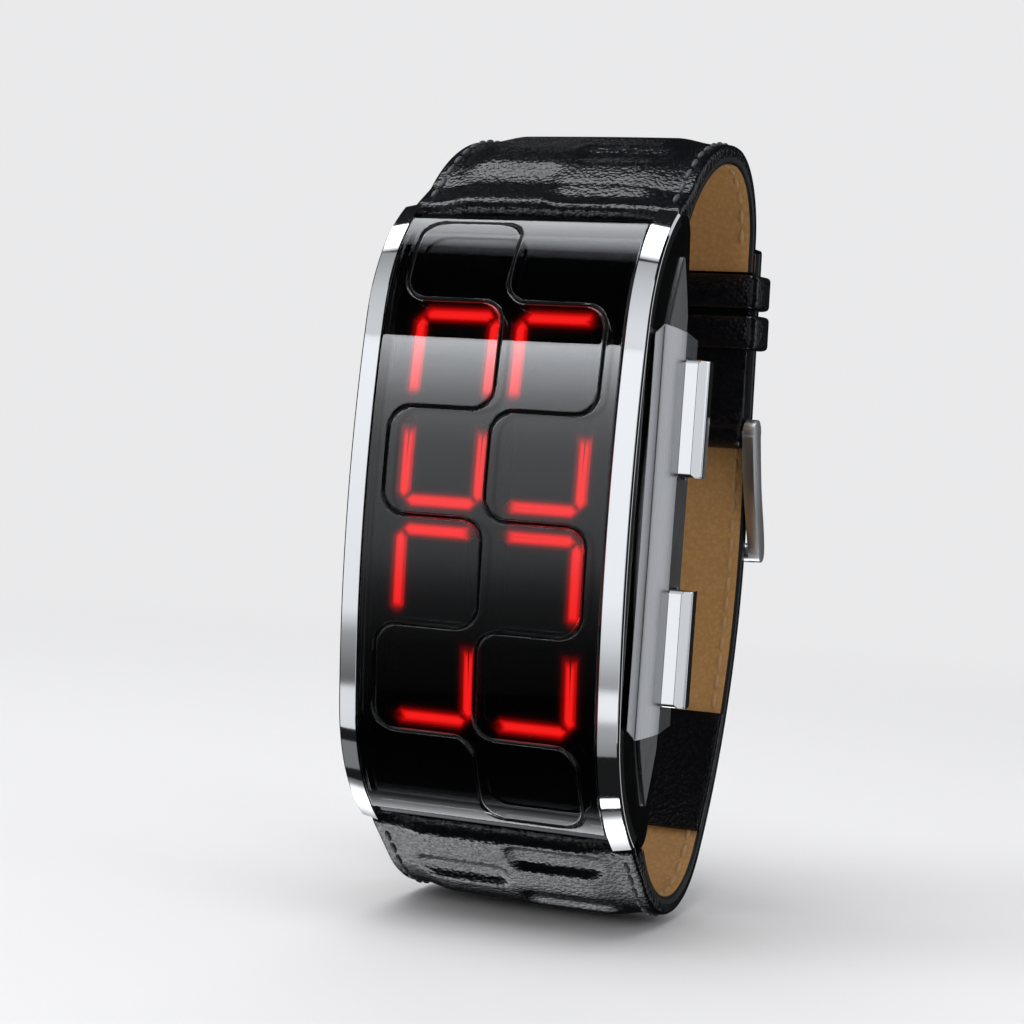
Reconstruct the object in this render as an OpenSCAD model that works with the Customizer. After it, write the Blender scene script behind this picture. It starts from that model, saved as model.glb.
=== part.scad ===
// Curved rectangular wristwatch with a lit segment display on a closed leather strap.
// The origin is the middle of the wrist opening. X points to the buttons at 3 o'clock,
// Y from the face to the buckle, and Z up to 12 o'clock. Outlines are drawn in the YZ
// plane, with y counted from the middle of the face, and are extruded along X.

/* [Face] */
// Width of the dark crystal between the rails
crystal_w = 22; // [21:0.5:24]
// Thickness of the crystal
crystal_t = 1.8; // [1.5:0.1:2]
// Radius of the face along its flatter middle
face_r = 115; // [100:5:140]
// Radius of the face towards 12 and 6 o'clock
end_r = 15.5; // [15:0.25:16.5]
// Half length of the flatter middle, along the face
flat_half = 17.1; // [16.5:0.1:17.6]
// Distance from the crystal's ends to the rails' ends, along the face
end_margin = 2.4; // [2.2:0.1:2.8]
// Width and height of one rounded tile of the face pattern
tile = 9.3; // [8.8:0.1:9.6]
// Corner radius of the tiles
tile_r = 2; // [1:0.25:2.5]
// Width of the engraved grooves
groove_w = 0.4; // [0.3:0.05:0.6]
// Depth of the engraved grooves
groove_d = 0.35; // [0.2:0.05:0.6]

/* [Display] */
// Half width of a digit, to the middle of its upright bars
digit_half_w = 3.4; // [3:0.1:3.6]
// Half height of a digit, to the middle of its level bars
digit_half_h = 8; // [7.7:0.1:8.2]
// Distance of the digits' middles from the middle of the face, across
digit_x = 4.6; // [4.4:0.1:4.9]
// Distance of the digits' middles from the middle of the face, along
digit_z = 9.25; // [9.1:0.05:9.6]
// Width of a light bar
bar_w = 0.9; // [0.6:0.1:1.2]
// Thickness of the light mask
mask_t = 0.6; // [0.4:0.1:0.8]

/* [Case] */
// Width of a polished rail
rail_w = 1.85; // [1.6:0.05:2.4]
// Thickness of a polished rail
rail_t = 1.6; // [1.2:0.1:1.7]
// Half length of the rails, along the face
case_half = 30; // [29.8:0.1:30.6]
// Radius of the lugs round the spring bars
lug_r = 1.8; // [1.6:0.05:1.9]
// Depth of the spring bars below the face
bar_depth = 2.8; // [2.7:0.05:3]
// Rim of the back cover beyond the module holder, at each end
cover_rim = 2.9; // [2.8:0.1:3.2]
// Thickness of the back cover
cover_t = 0.8; // [0.6:0.1:1]
// Radius of the back cover's screw heads
screw_head_r = 0.9; // [0.7:0.05:1]
// Thickness of the brushed side panels
panel_t = 0.5; // [0.4:0.05:0.7]

/* [Guard and buttons] */
// Half length of the guard bar, to its pointed ends
guard_half = 17.4; // [16.8:0.1:17.8]
// How far the guard bar stands out of the case's side
guard_out = 1.75; // [1.4:0.05:2]
// Distance of the buttons from the middle of the case
button_z = 9.8; // [9.2:0.1:10.4]
// Length of a button along the case
button_len = 10; // [8:0.1:11]
// Width of a button, from front to back
button_w = 3.5; // [2.8:0.1:3.6]
// How far a button stands out of the guard bar
button_out = 2; // [1.5:0.1:2.6]
// Travel of a button
button_travel = 0.6; // [0.4:0.05:0.6]
// Radius of a button's stem
stem_r = 0.7; // [0.6:0.05:0.75]

/* [Module] */
// Room between the light mask and the circuit board
light_room = 3.1; // [3:0.1:3.5]
// Room between the circuit board and the middle of the buttons' stems
switch_room = 2.35; // [2.3:0.05:2.8]
// Thickness of the circuit board
board_t = 0.8; // [0.6:0.1:1]
// Radius of a coin cell
cell_r = 8; // [7.6:0.1:8]
// Thickness of a coin cell
cell_t = 1.6; // [1.2:0.1:1.8]

/* [Strap] */
// Width of the strap
strap_w = 25; // [24:0.25:26]
// Thickness of the tan lining
lining_t = 0.7; // [0.5:0.05:0.9]
// Thickness of the black leather
leather_t = 1.1; // [0.9:0.05:1.3]
// Extra thickness of the padded middle next to the case
pad_t = 0.6; // [0.4:0.1:1]
// Radius of the strap's rolled ends round the spring bars
nose_r = 1.5; // [1.35:0.05:1.6]
// Height of the lining's upper crest above the middle of the watch
loop_up = 34.4; // [33:0.2:37]
// Depth of the lining's lower crest below the middle of the watch
loop_down = 33.5; // [32.4:0.2:36]
// Depth of the loop, from the face to the lining at the upper back
loop_depth = 34.2; // [33:0.2:37]
// Radius of the bend below the lower crest
lower_bend_r = 8.4; // [7.8:0.2:9.2]
// Radius of the long curve up the back
back_r = 46.8; // [44:0.4:52]
// Lean of the two layers at the buckle
lean = 3.5; // [2:0.5:5]
// Straight stretch of the short half, down to the buckle's bar
short_len = 18.5; // [17.6:0.1:19.4]
// Length of the tail beyond the end of that stretch
tail_over = 1.5; // [1.2:0.1:2.6]

/* [Buckle and keepers] */
// Distance from the buckle's bar to the middle of its cross bar
buckle_len = 11.9; // [11:0.1:12.6]
// Thickness of the buckle's arms, across the strap
arm_t = 1.1; // [0.9:0.05:1.4]
// Width of the buckle's tongue
tongue_w = 2; // [1.6:0.1:2.2]
// Width of each keeper along the strap
keeper_len = 3.4; // [2.8:0.1:3.6]
// Wall of a keeper
keeper_t = 0.8; // [0.6:0.05:1]

/* [Hidden] */
$fn = 48;

// Clearances: between fixed pieces, for a sliding button, and round a turning or sliding shaft
seat_gap = 0.05;
slide_gap = 0.12;
shaft_gap = 0.05;
soft_gap = 0.25;
wall_gap = 0.12;
// Overshoot of the cutting solids
over = 1;
// Distance from the face to the middle of the wrist
wrist_y = 25;

// Widths: the case, the room between its walls, and its opening at the back
case_w = crystal_w + 2 * rail_w;
side_x = case_w / 2;
inner_x = crystal_w / 2;
ledge_w = 0.9;
room_x = inner_x - ledge_w;
back_x = room_x - 0.3;

// Depths, from the crystal to the back cover
gasket_t = 0.3;
mask_depth = crystal_t + gasket_t + seat_gap;
board_y = mask_depth + light_room;
board_back = board_y + board_t;
stem_y = board_back + switch_room;
holder_y = stem_y + stem_r + 0.1;
holder_floor = 0.5;
cell_y = holder_y + holder_floor + seat_gap / 2;
contact_t = 0.3;
contact_y = cell_y + cell_t + seat_gap / 2;
cover_y = contact_y + contact_t + seat_gap / 2;
case_t = cover_y + cover_t;

// Lengths along the case
crystal_half = case_half - end_margin;
mask_half = crystal_half - 1.2;
board_rim = 1.45;
board_half = digit_z + digit_half_h + board_rim;
cell_z = cell_r + 0.75;
holder_half = cell_z + cell_r + 0.55;
cover_x = inner_x;
cover_half = holder_half + cover_rim;

// Centre of the end arcs, in [depth, height]
flat_angle = flat_half / face_r * 180 / PI;
end_c = [face_r - (face_r - end_r) * cos(flat_angle), (face_r - end_r) * sin(flat_angle)];

// Angle of the face's normal at length v along it, from the middle
function face_angle(v) = abs(v) <= flat_half
    ? v / face_r * 180 / PI
    : sign(v) * (flat_angle + (abs(v) - flat_half) / end_r * 180 / PI);

// Point of the face at length v and depth d
function face_pt(v, d) = let (a = face_angle(v)) abs(v) <= flat_half
    ? [face_r - (face_r - d) * cos(a), (face_r - d) * sin(a)]
    : [end_c[0] - (end_r - d) * cos(a), sign(v) * (end_c[1] + (end_r - d) * sin(abs(a)))];

// Lengths along the face from v0 to v1, closer together round the ends
function stations(v0, v1) = [
    v0,
    for (v = [-32 : 1 : 32]) if (v > v0 && v < v1 && (abs(v) > flat_half || v % 3 == 0)) v,
    v1
];

function reversed(list) = [for (i = [len(list) - 1 : -1 : 0]) list[i]];

// Closed outline of a layer of the face between depths d0 and d1
function layer(v0, v1, d0, d1) = concat(
    [for (v = stations(v0, v1)) face_pt(v, d0)],
    [for (v = reversed(stations(v0, v1))) face_pt(v, d1)]
);

// Points of an arc in the YZ plane, with angles from +Y towards +Z
function arc(c, r, a0, a1, n) = [for (i = [0 : n]) c + r * dir(a0 + (a1 - a0) * i / n)];
function dir(a) = [cos(a), sin(a)];

// Upper spring bar, in [depth, height]; the lower one mirrors it
bar_past = 0.7;
bar_at = face_pt(case_half + bar_past, bar_depth);
bar_r = 0.75;
bar_tip_r = 0.4;
lug_gap = 0.15;

// Raises an outline in the YZ plane into a solid from x0 to x1
module along_x(x0, x1) {
    translate([x0, -wrist_y, 0]) rotate([90, 0, 90]) linear_extrude(x1 - x0) children();
}

// The same on both sides of the middle
module across(w) {
    along_x(-w / 2, w / 2) children();
}

// A straight round bar along X at [depth, height]
module x_rod(at, r, x0, x1) {
    translate([x0, at[0] - wrist_y, at[1]]) rotate([0, 90, 0]) cylinder(r = r, h = x1 - x0);
}

// A block between two heights and two depths
module block(x0, x1, y0, y1, z0, z1) {
    translate([x0, y0 - wrist_y, z0]) cube([x1 - x0, y1 - y0, z1 - z0]);
}

// Copies for 12 and 6 o'clock
module both_ends() {
    children();
    mirror([0, 0, 1]) children();
}

// Side outline of the case, d below the face at the front
back_flat = cover_half + 0.3;
function case_side(d) = let (
    front = [for (v = stations(0, case_half)) face_pt(v, d)],
    lug = arc(bar_at, lug_r, 105, 0, 14),
    half = concat(front, lug, [[case_t, back_flat]])
) concat(half, [for (p = reversed(half)) if (p[1] > 0.01) [p[0], -p[1]]]);

// Case: a black steel tray with side walls, a ledge for the crystal, two lugs at each end,
// an opening at the back and bores for the button stems
module case_body() {
    color("#0c0d10") difference() {
        union() {
            across(case_w) polygon(case_side(rail_t + seat_gap));
            across(crystal_w) polygon(layer(-end_wall_v, end_wall_v, end_wall_d, crystal_t + gasket_t));
        }
        across(crystal_w) polygon(layer(-crystal_half - seat_gap, crystal_half + seat_gap,
            -over, crystal_t + gasket_t));
        across(2 * room_x) polygon(layer(-mask_half - 0.2, mask_half + 0.2, -over, front_room_d));
        block(-room_x, room_x, 0, board_back, -board_half - wall_gap, board_half + wall_gap);
        block(-back_x, back_x, board_y, case_t + over, -holder_half - wall_gap, holder_half + wall_gap);
        block(-cover_x - seat_gap, cover_x + seat_gap, cover_y, case_t + over,
            -cover_half - seat_gap, cover_half + seat_gap);
        gasket_ring(seat_gap / 2, cover_y + over);
        screw_places() cylinder(r = screw_r + wall_gap / 2, h = screw_len + wall_gap);
        both_ends() strap_way();
        both_ends() x_rod(bar_at, bar_tip_r + shaft_gap, -bar_tip_x - seat_gap, bar_tip_x + seat_gap);
        stem_places() rotate([0, 90, 0]) cylinder(r = stem_r + shaft_gap, h = side_x);
        stem_places() translate([seal_x - seat_gap / 2, 0, 0]) rotate([0, 90, 0])
            cylinder(r = seal_r + seat_gap / 2, h = side_x);
        for (s = [0, 1]) mirror([s, 0, 0])
            along_x(side_x - panel_seat, side_x + over) panel_outline(seat_gap);
    }
}

// The outer end walls between the lugs, in front of the strap
end_wall_v = case_half - 0.9;
end_wall_d = 0.6;
front_room_d = mask_depth + light_room - 0.65;
screw_r = 0.5;
screw_len = 2.4;

// Room for the strap's rolled end between the lugs
module strap_way() {
    way_r = nose_r + soft_gap;
    x_rod(bar_at, way_r, -inner_x, inner_x);
    block(-inner_x, inner_x, bar_at[0] - way_r + 0.1, case_t + 2, bar_at[1], bar_at[1] + 6);
    block(-inner_x, inner_x, bar_at[0], case_t + 2, bar_at[1] - way_r, bar_at[1] + 6);
}

// Places of the button stems, at the bore's inner end, looking along +X
module stem_places() {
    for (s = [-1, 1]) translate([0, stem_y - wrist_y, s * button_z]) children();
}

// Places of the back cover's screws, from the cover's outer face inwards
screw_in_x = 2.4;
screw_in_z = 1.3;
module screw_places() {
    for (sx = [-1, 1]) for (sz = [-1, 1])
        translate([sx * (cover_x - screw_in_x), case_t - wrist_y, sz * (cover_half - screw_in_z)])
            rotate([90, 0, 0]) children();
}

// Rails: polished strips along both front edges, from lug to lug
rail_bevel = 0.35;
module rail() {
    color("#d8dadd") difference() {
        along_x(inner_x + seat_gap / 2, side_x) polygon(layer(-case_half, case_half, 0, rail_t));
        along_x(side_x - rail_bevel, side_x + over)
            polygon(layer(-case_half - over, case_half + over, -over, rail_bevel));
    }
}

module left_rail() {
    mirror([1, 0, 0]) rail();
}

module right_rail() {
    rail();
}

// Side panels: brushed lens-shaped plates let into the black sides
panel_front_r = 46;
panel_front = 3.1;
panel_rear_r = 54;
panel_rear = case_t + 3;
panel_cut = case_t - 0.4;
panel_seat = 0.25;
module panel_outline(grow) {
    intersection() {
        translate([panel_front + panel_front_r, 0]) circle(r = panel_front_r + grow, $fn = 120);
        translate([panel_rear - panel_rear_r, 0]) circle(r = panel_rear_r + grow, $fn = 120);
        translate([0, -side_x * 3]) square([panel_cut + grow, side_x * 6]);
    }
}

module side_panel() {
    along_x(side_x - panel_seat + seat_gap / 2, side_x - panel_seat + panel_t) panel_outline(0);
}

module left_side_panel() {
    color("#8d9094") mirror([1, 0, 0]) side_panel();
}

module right_side_panel() {
    color("#8d9094") difference() {
        side_panel();
        stem_places() rotate([0, 90, 0]) cylinder(r = seal_r + 0.15, h = 2 * side_x);
    }
}

// Guard bar: a brushed bar with three long facets and pointed ends, which frames the buttons
guard_x = side_x - panel_seat + panel_t;
guard_front = 2.6;
button_front = stem_y - 1.25;
button_rear = button_front + button_w;
guard_fold = button_front - slide_gap;
guard_rear = case_t - 0.6;
guard_slope = 1.2;
guard_lean = 4;
fold_x = side_x + 0.95;
module guard_bar() {
    top = side_x + guard_out;
    color("#a7aaae") difference() {
        translate([0, -wrist_y, -guard_half]) linear_extrude(2 * guard_half) polygon([
            [guard_x + 0.02, guard_front], [fold_x, guard_front + 0.4], [top, guard_fold],
            [top - 0.4, guard_rear], [guard_x + 0.02, guard_rear + 0.1]
        ]);
        both_ends() guard_end_cut();
        for (s = [-1, 1]) translate([0, 0, s * button_z])
            block(guard_x - over, top + over, button_front - slide_gap, button_rear + slide_gap,
                -button_len / 2 - slide_gap, button_len / 2 + slide_gap);
    }
}

// Two slanting cuts that leave the guard bar's point on its front fold
module guard_end_cut() {
    deep = case_t;
    translate([fold_x, guard_front + 0.4 - wrist_y, guard_half]) {
        rotate([-guard_lean, 0, 0]) translate([-deep / 2, 0, 0]) cube(deep);
        multmatrix([[1, 0, 0, 0], [0, 1, 0, 0], [guard_slope, 0, 1, 0], [0, 0, 0, 1]])
            translate([-deep, -over, 0]) cube([deep, deep + over, deep]);
    }
}

// Buttons: bevelled steel bars, each on one stem with a waterproof seal, a spring and a clip
button_top = side_x + guard_out + button_out;
button_foot = guard_x + button_travel + 0.15;
clip_w = 0.3;
clip_r = stem_r + 0.45;
seal_x = side_x - 0.9;
seal_r = 1.25;
switch_x = back_x - 1.9;
stem_tip = switch_x + 0.05 + button_travel;
clip_x = back_x - clip_w - 0.12;
module button_bar() {
    bevel = 0.35;
    slant = 0.5;
    half = button_len / 2;
    color("#d8dadd") {
        intersection() {
            translate([0, -wrist_y, button_z - half]) linear_extrude(button_len) polygon([
                [button_foot, button_front], [button_top - bevel, button_front],
                [button_top, button_front + bevel], [button_top - slant, button_rear],
                [button_foot, button_rear]
            ]);
            translate([0, button_rear + over - wrist_y, button_z]) rotate([90, 0, 0])
                linear_extrude(button_w + 2 * over) polygon([
                    [0, -half], [button_top - bevel, -half], [button_top, -half + bevel],
                    [button_top, half - bevel], [button_top - bevel, half], [0, half]
                ]);
        }
        x_rod([stem_y, button_z], stem_r, clip_x + clip_w + 0.04, button_foot + 0.2);
        x_rod([stem_y, button_z], stem_r - 0.2, stem_tip + 0.1, button_foot);
        x_rod([stem_y, button_z], stem_r, stem_tip, clip_x);
    }
}

module upper_button() {
    button_bar();
}

module lower_button() {
    mirror([0, 0, 1]) button_bar();
}

// Clips: small rings in the stems' grooves, which stop the buttons from coming out
module clip() {
    color("#6f7276") difference() {
        x_rod([stem_y, button_z], clip_r, clip_x + 0.02, clip_x + clip_w + 0.02);
        x_rod([stem_y, button_z], stem_r - 0.18, clip_x - over, clip_x + 2);
    }
}

module upper_button_clip() {
    clip();
}

module lower_button_clip() {
    mirror([0, 0, 1]) clip();
}

// Springs: one turned coil round each stem, between the seal and the button
spring_wire_r = 0.11;
spring_turns = 3;
module button_spring() {
    coil_r = stem_r + 0.1 + spring_wire_r;
    from_x = seal_x + seal_t + 0.05 + spring_wire_r;
    to_x = button_foot - 0.05 - spring_wire_r;
    rings = spring_turns * 10;
    sides = 6;
    points = [for (i = [0 : rings]) for (j = [0 : sides - 1])
        let (a = 360 * spring_turns * i / rings, b = 360 * j / sides,
            r = coil_r + spring_wire_r * cos(b))
        [from_x + (to_x - from_x) * i / rings + spring_wire_r * sin(b),
            stem_y - wrist_y + r * cos(a), button_z + r * sin(a)]];
    walls = [for (i = [0 : rings - 1]) for (j = [0 : sides - 1])
        let (k = (j + 1) % sides)
        for (t = [0, 1]) t == 0
            ? [i * sides + j, i * sides + k, (i + 1) * sides + j]
            : [i * sides + k, (i + 1) * sides + k, (i + 1) * sides + j]];
    caps = [for (j = [1 : sides - 2]) for (t = [0, 1]) t == 0
        ? [0, j + 1, j]
        : [rings * sides, rings * sides + j, rings * sides + j + 1]];
    color("#b9bcc0") polyhedron(points, concat(walls, caps));
}

module upper_button_spring() {
    button_spring();
}

module lower_button_spring() {
    mirror([0, 0, 1]) button_spring();
}

// Seals: one rubber ring round each stem, in a pocket of the case wall
seal_t = 0.6;
module button_seals() {
    color("#1b1b1b") stem_places() translate([seal_x, 0, 0]) rotate([0, 90, 0]) difference() {
        cylinder(r = seal_r, h = seal_t);
        translate([0, 0, -over]) cylinder(r = stem_r + 0.02, h = seal_t + 2 * over);
    }
}

// Crystal: a dark curved glass with two engraved stepped grooves
module crystal() {
    color("#101216", 0.6) difference() {
        across(crystal_w - 2 * seat_gap) polygon(layer(-crystal_half, crystal_half, 0, crystal_t));
        intersection() {
            groove_cutter();
            across(crystal_w) polygon(layer(-crystal_half, crystal_half, -over, groove_d));
        }
    }
}

// The groove is one closed line. It steps down the left from tile to tile, and back up the
// right, so that it outlines a chain of rounded squares.
function row_z(i) = face_pt(i == 0 ? groove_end : i == 6 ? -groove_end : (3 - i) * tile, 0)[1];
groove_end = crystal_half - 0.7;
groove_corners = concat(
    [for (i = [0 : 5]) for (k = [0, 1]) [i % 2 == 0 ? -tile : 0, row_z(i + k)]],
    [for (i = [5 : -1 : 0]) for (k = [1, 0]) [i % 2 == 0 ? 0 : tile, row_z(i + k)]]
);

// Rounds the corners of a closed line and moves it sideways by d
function rounded(c, r, d) = let (n = len(c), steps = 5) [
    for (i = [0 : n - 1])
        let (
            before = unit(c[i] - c[(i + n - 1) % n]),
            after = unit(c[(i + 1) % n] - c[i]),
            turn = sign(before[0] * after[1] - before[1] * after[0]),
            centre = c[i] + r * (after - before),
            reach = r - turn * d
        )
        for (k = [0 : steps]) let (a = 90 * k / steps) centre + reach * (before * sin(a) - after * cos(a))
];
function unit(v) = v / norm(v);

// Pushes a drawing of the face, in [x, z], through the watch from front to back
module face_cut(y0, y1) {
    translate([0, y1 - wrist_y, 0]) rotate([90, 0, 0]) linear_extrude(y1 - y0) children();
}

module groove_cutter() {
    face_cut(-over, end_r) difference() {
        polygon(rounded(groove_corners, tile_r, -groove_w / 2));
        polygon(rounded(groove_corners, tile_r, groove_w / 2));
    }
}

// Gasket: the soft frame under the crystal's rim
module crystal_gasket() {
    color("#1b1b1b") difference() {
        across(crystal_w - 2 * seat_gap) polygon(layer(-crystal_half, crystal_half,
            crystal_t, crystal_t + gasket_t - seat_gap / 4));
        across(2 * room_x) polygon(layer(-mask_half - 0.2, mask_half + 0.2, 0, 2 * crystal_t));
    }
}

// Light mask: the black sheet under the crystal, with a window for every light bar
module light_mask() {
    color("#08080a") difference() {
        across(2 * (room_x - wall_gap))
            polygon(layer(-mask_half, mask_half, mask_depth, mask_depth + mask_t));
        face_cut(-over, end_r) bars([for (i = [0 : 23]) i], 2 * seat_gap);
    }
}

// Light bars. Bar i of a digit: 0 top, 1 upper left, 2 upper right, 3 lower left,
// 4 lower right, 5 bottom. Digits: 0 upper left, 1 upper right, 2 lower left, 3 lower right.
lit = [0, 1, 2, 3, 4, 5, 6, 7, 10, 11, 12, 13, 16, 17, 18, 20, 22, 23];
dark = [for (i = [0 : 23]) if (len(search(i, lit)) == 0) i];
// Free lengths between the bars: beside an upright, above and below one
side_gap = 0.25;
corner_gap = 0.25;
middle_gap = 1;
level_len = 2 * (digit_half_w - side_gap);
upright_len = digit_half_h - corner_gap - middle_gap;
bar_t = 0.8;

// Middle of bar i, in [x, z]
function bar_middle(i) = let (digit = floor(i / 6), part = i % 6) [
    (digit % 2 == 0 ? -1 : 1) * digit_x
        + (is_level(i) ? 0 : (part % 2 == 1 ? -1 : 1) * digit_half_w),
    (digit < 2 ? 1 : -1) * digit_z
        + (part < 3 ? 1 : -1) * (is_level(i) ? digit_half_h : digit_half_h - corner_gap - upright_len / 2)
];
function is_level(i) = i % 6 == 0 || i % 6 == 5;

module bars(which, grow) {
    for (i = which) translate(bar_middle(i))
        bar_shape(is_level(i) ? level_len : upright_len, grow, is_level(i) ? 0 : 90);
}

// One bar with mitred ends, grown all round
module bar_shape(length, grow, turn) {
    h = bar_w / 2 + grow / 2;
    l = length / 2 + grow / 2;
    rotate(turn) polygon([[-l, 0], [-l + h, h], [l - h, h], [l, 0], [l - h, -h], [-l + h, -h]]);
}

module light_bars(which, c) {
    color(c) intersection() {
        face_cut(-over, end_r) bars(which, 0);
        across(crystal_w)
            polygon(layer(-mask_half, mask_half, mask_depth + seat_gap, mask_depth + seat_gap + bar_t));
    }
}

module lit_bars() {
    light_bars(lit, "#ff1a14");
}

module dark_bars() {
    light_bars(dark, "#2a0506");
}

// Board with one chip behind every bar, the controller, the quartz can and capacitors
module circuit_board() {
    color("#0f5a32") difference() {
        block(-room_x + wall_gap, room_x - wall_gap, board_y, board_back, -board_half, board_half);
        both_ends() face_at(board_y - over, cell_z) cylinder(r = 0.6, h = board_t + 2 * over);
    }
}

// Places a child at a depth and a height, looking along +Y
module face_at(y, z) {
    translate([0, y - wrist_y, z]) rotate([-90, 0, 0]) children();
}

led_w = 1.6;
led_len = 0.8;
led_t = 0.4;
module led_chips() {
    color("#e8dcc0") for (i = [0 : 23]) {
        at = bar_middle(i);
        translate([at[0], 0, at[1]])
            block(-led_w / 2, led_w / 2, board_y - led_t, board_y, -led_len / 2, led_len / 2);
    }
}

chip_w = 6;
chip_t = 1;
module microcontroller() {
    color("#141416")
        block(-chip_w / 2, chip_w / 2, board_back, board_back + chip_t, -chip_w / 2, chip_w / 2);
}

can_r = 0.8;
can_len = 5.2;
module quartz_oscillator() {
    color("#c9ccd0") x_rod([board_back + can_r, chip_w / 2 + 2.5], can_r, -can_len / 2, can_len / 2);
}

cap_w = 0.8;
cap_len = 1.6;
cap_t = 0.6;
cap_pitch = 2;
module board_capacitors() {
    color("#b08a5a") for (s = [-1, 1]) for (t = [-1, 1]) for (i = [0, 1])
        translate([s * (room_x - 3.6 - i * cap_pitch), 0, t * (board_half - 4.1)])
            block(-cap_w / 2, cap_w / 2, board_back, board_back + cap_t, -cap_len / 2, cap_len / 2);
}

// Switches on the board's rim, one under each stem
switch_w = 2.1;
switch_len = 3.2;
plunger_r = 0.45;
plunger_out = 0.3;
module side_switches() {
    color("#30333a") for (s = [-1, 1]) translate([0, 0, s * button_z]) {
        block(switch_x - plunger_out - switch_w, switch_x - plunger_out, board_back,
            holder_y - wall_gap / 2, -switch_len / 2, switch_len / 2);
        x_rod([stem_y, 0], plunger_r, switch_x - plunger_out - 0.1, switch_x);
    }
}

// Holder: the plastic frame behind the board, with a round pocket for each coin cell
post_w = 1.6;
contact_r = 1.4;
strip_w = 4;
module module_holder() {
    hold_x = back_x - wall_gap;
    color("#25272b") difference() {
        union() {
            block(-hold_x, hold_x, holder_y, cover_y - wall_gap, -holder_half, holder_half);
            for (sx = [-1, 1]) for (sz = [-1, 1])
                translate([sx * (hold_x - post_w / 2), 0, sz * (holder_half - post_w / 2)])
                    block(-post_w / 2, post_w / 2, board_back, holder_y + over / 2,
                        -post_w / 2, post_w / 2);
        }
        both_ends() face_at(holder_y + holder_floor, cell_z)
            cylinder(r = cell_r + wall_gap, h = 3 * cell_t);
        both_ends() face_at(0, cell_z) cylinder(r = contact_r + 2 * wall_gap, h = case_t);
        block(-strip_w / 2 - wall_gap, strip_w / 2 + wall_gap, contact_y - wall_gap, case_t,
            -cell_z, cell_z);
        stem_places() rotate([0, 90, 0]) cylinder(r = clip_r + wall_gap, h = side_x);
    }
}

cell_step = 0.15;
module coin_cells() {
    color("#c3c6ca") both_ends() {
        face_at(cell_y, cell_z) cylinder(r = cell_r - 4 * cell_step, h = 2 * cell_step);
        face_at(cell_y + cell_step, cell_z) cylinder(r = cell_r, h = cell_t - cell_step);
    }
}

// Contacts: a strip across the backs of both cells, and a post from the board under each
module battery_contacts() {
    color("#c8a24a") {
        block(-strip_w / 2, strip_w / 2, contact_y, contact_y + contact_t, -1.35 * cell_z, 1.35 * cell_z);
        both_ends() face_at(board_back, cell_z) cylinder(r = contact_r, h = cell_y - board_back);
    }
}

// Back cover: a brushed plate let flush into the back, with four screws and a flat gasket
head_t = 0.32;
module back_cover() {
    color("#9a9da1") difference() {
        block(-cover_x, cover_x, cover_y, case_t, -cover_half, cover_half);
        screw_places() translate([0, 0, -over])
            cylinder(r = screw_r + seat_gap, h = cover_t + 2 * over);
        screw_places() translate([0, 0, -over])
            cylinder(r = screw_head_r + seat_gap, h = head_t + seat_gap + over);
    }
}

// A flat ring round the back opening, grown all round, up to depth y1
ring_w = 0.45;
ring_t = 0.35;
module gasket_ring(grow, y1) {
    in_x = back_x + wall_gap;
    in_z = holder_half + 2 * wall_gap;
    difference() {
        block(-in_x - ring_w - grow, in_x + ring_w + grow, cover_y - ring_t - grow, y1,
            -in_z - ring_w - grow, in_z + ring_w + grow);
        block(-in_x + grow, in_x - grow, cover_y - ring_t - over, y1 + over, -in_z + grow, in_z - grow);
    }
}

module back_gasket() {
    color("#1b1b1b") gasket_ring(0, cover_y - seat_gap / 4);
}

slot_t = 0.22;
module back_screws() {
    color("#8f9296") screw_places() difference() {
        union() {
            cylinder(r = screw_r, h = screw_len);
            translate([0, 0, seat_gap / 2]) cylinder(r = screw_head_r, h = head_t);
        }
        translate([-screw_head_r, -slot_t / 2, -over]) cube([2 * screw_head_r, slot_t, over + head_t / 2]);
    }
}

// Spring bars: a tube with a thin tip at each end
bar_tip_x = inner_x + 0.65 * rail_w;
module spring_bar(at, tube_x, tip_x) {
    color("#b9bcc0") {
        x_rod(at, bar_r, -tube_x, tube_x);
        x_rod(at, bar_tip_r, -tip_x, tip_x);
    }
}

module upper_spring_bar() {
    spring_bar(bar_at, inner_x - lug_gap, bar_tip_x);
}

module lower_spring_bar() {
    mirror([0, 0, 1]) upper_spring_bar();
}

// Wrist side of the short half: an arc from the upper spring bar over the crest,
// a tighter arc down the back, and a straight stretch to the buckle's bar.
// Each line is drawn at a distance o outwards from the lining.
crest_up = 27.5;
crest_down = 23;
up_r = (pow(crest_up - bar_at[0], 2) + pow(loop_up + nose_r - bar_at[1], 2))
    / (2 * (loop_up + nose_r - bar_at[1])) - nose_r;
up_c = [crest_up, loop_up - up_r];
up_start = atan2(bar_at[1] - up_c[1], bar_at[0] - up_c[0]);
turn_r = (loop_depth - crest_up) / cos(lean);
turn_c = [crest_up, loop_up - turn_r];
out_dir = dir(lean);
up_dir = dir(lean + 90);
turn_end = turn_c + turn_r * out_dir;

function upper_line(o, from, to) = concat(
    arc(up_c, up_r + o, from, 90, 16),
    arc(turn_c, turn_r + o, 84, lean, 14),
    [turn_end + o * out_dir - to * up_dir]
);

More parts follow.
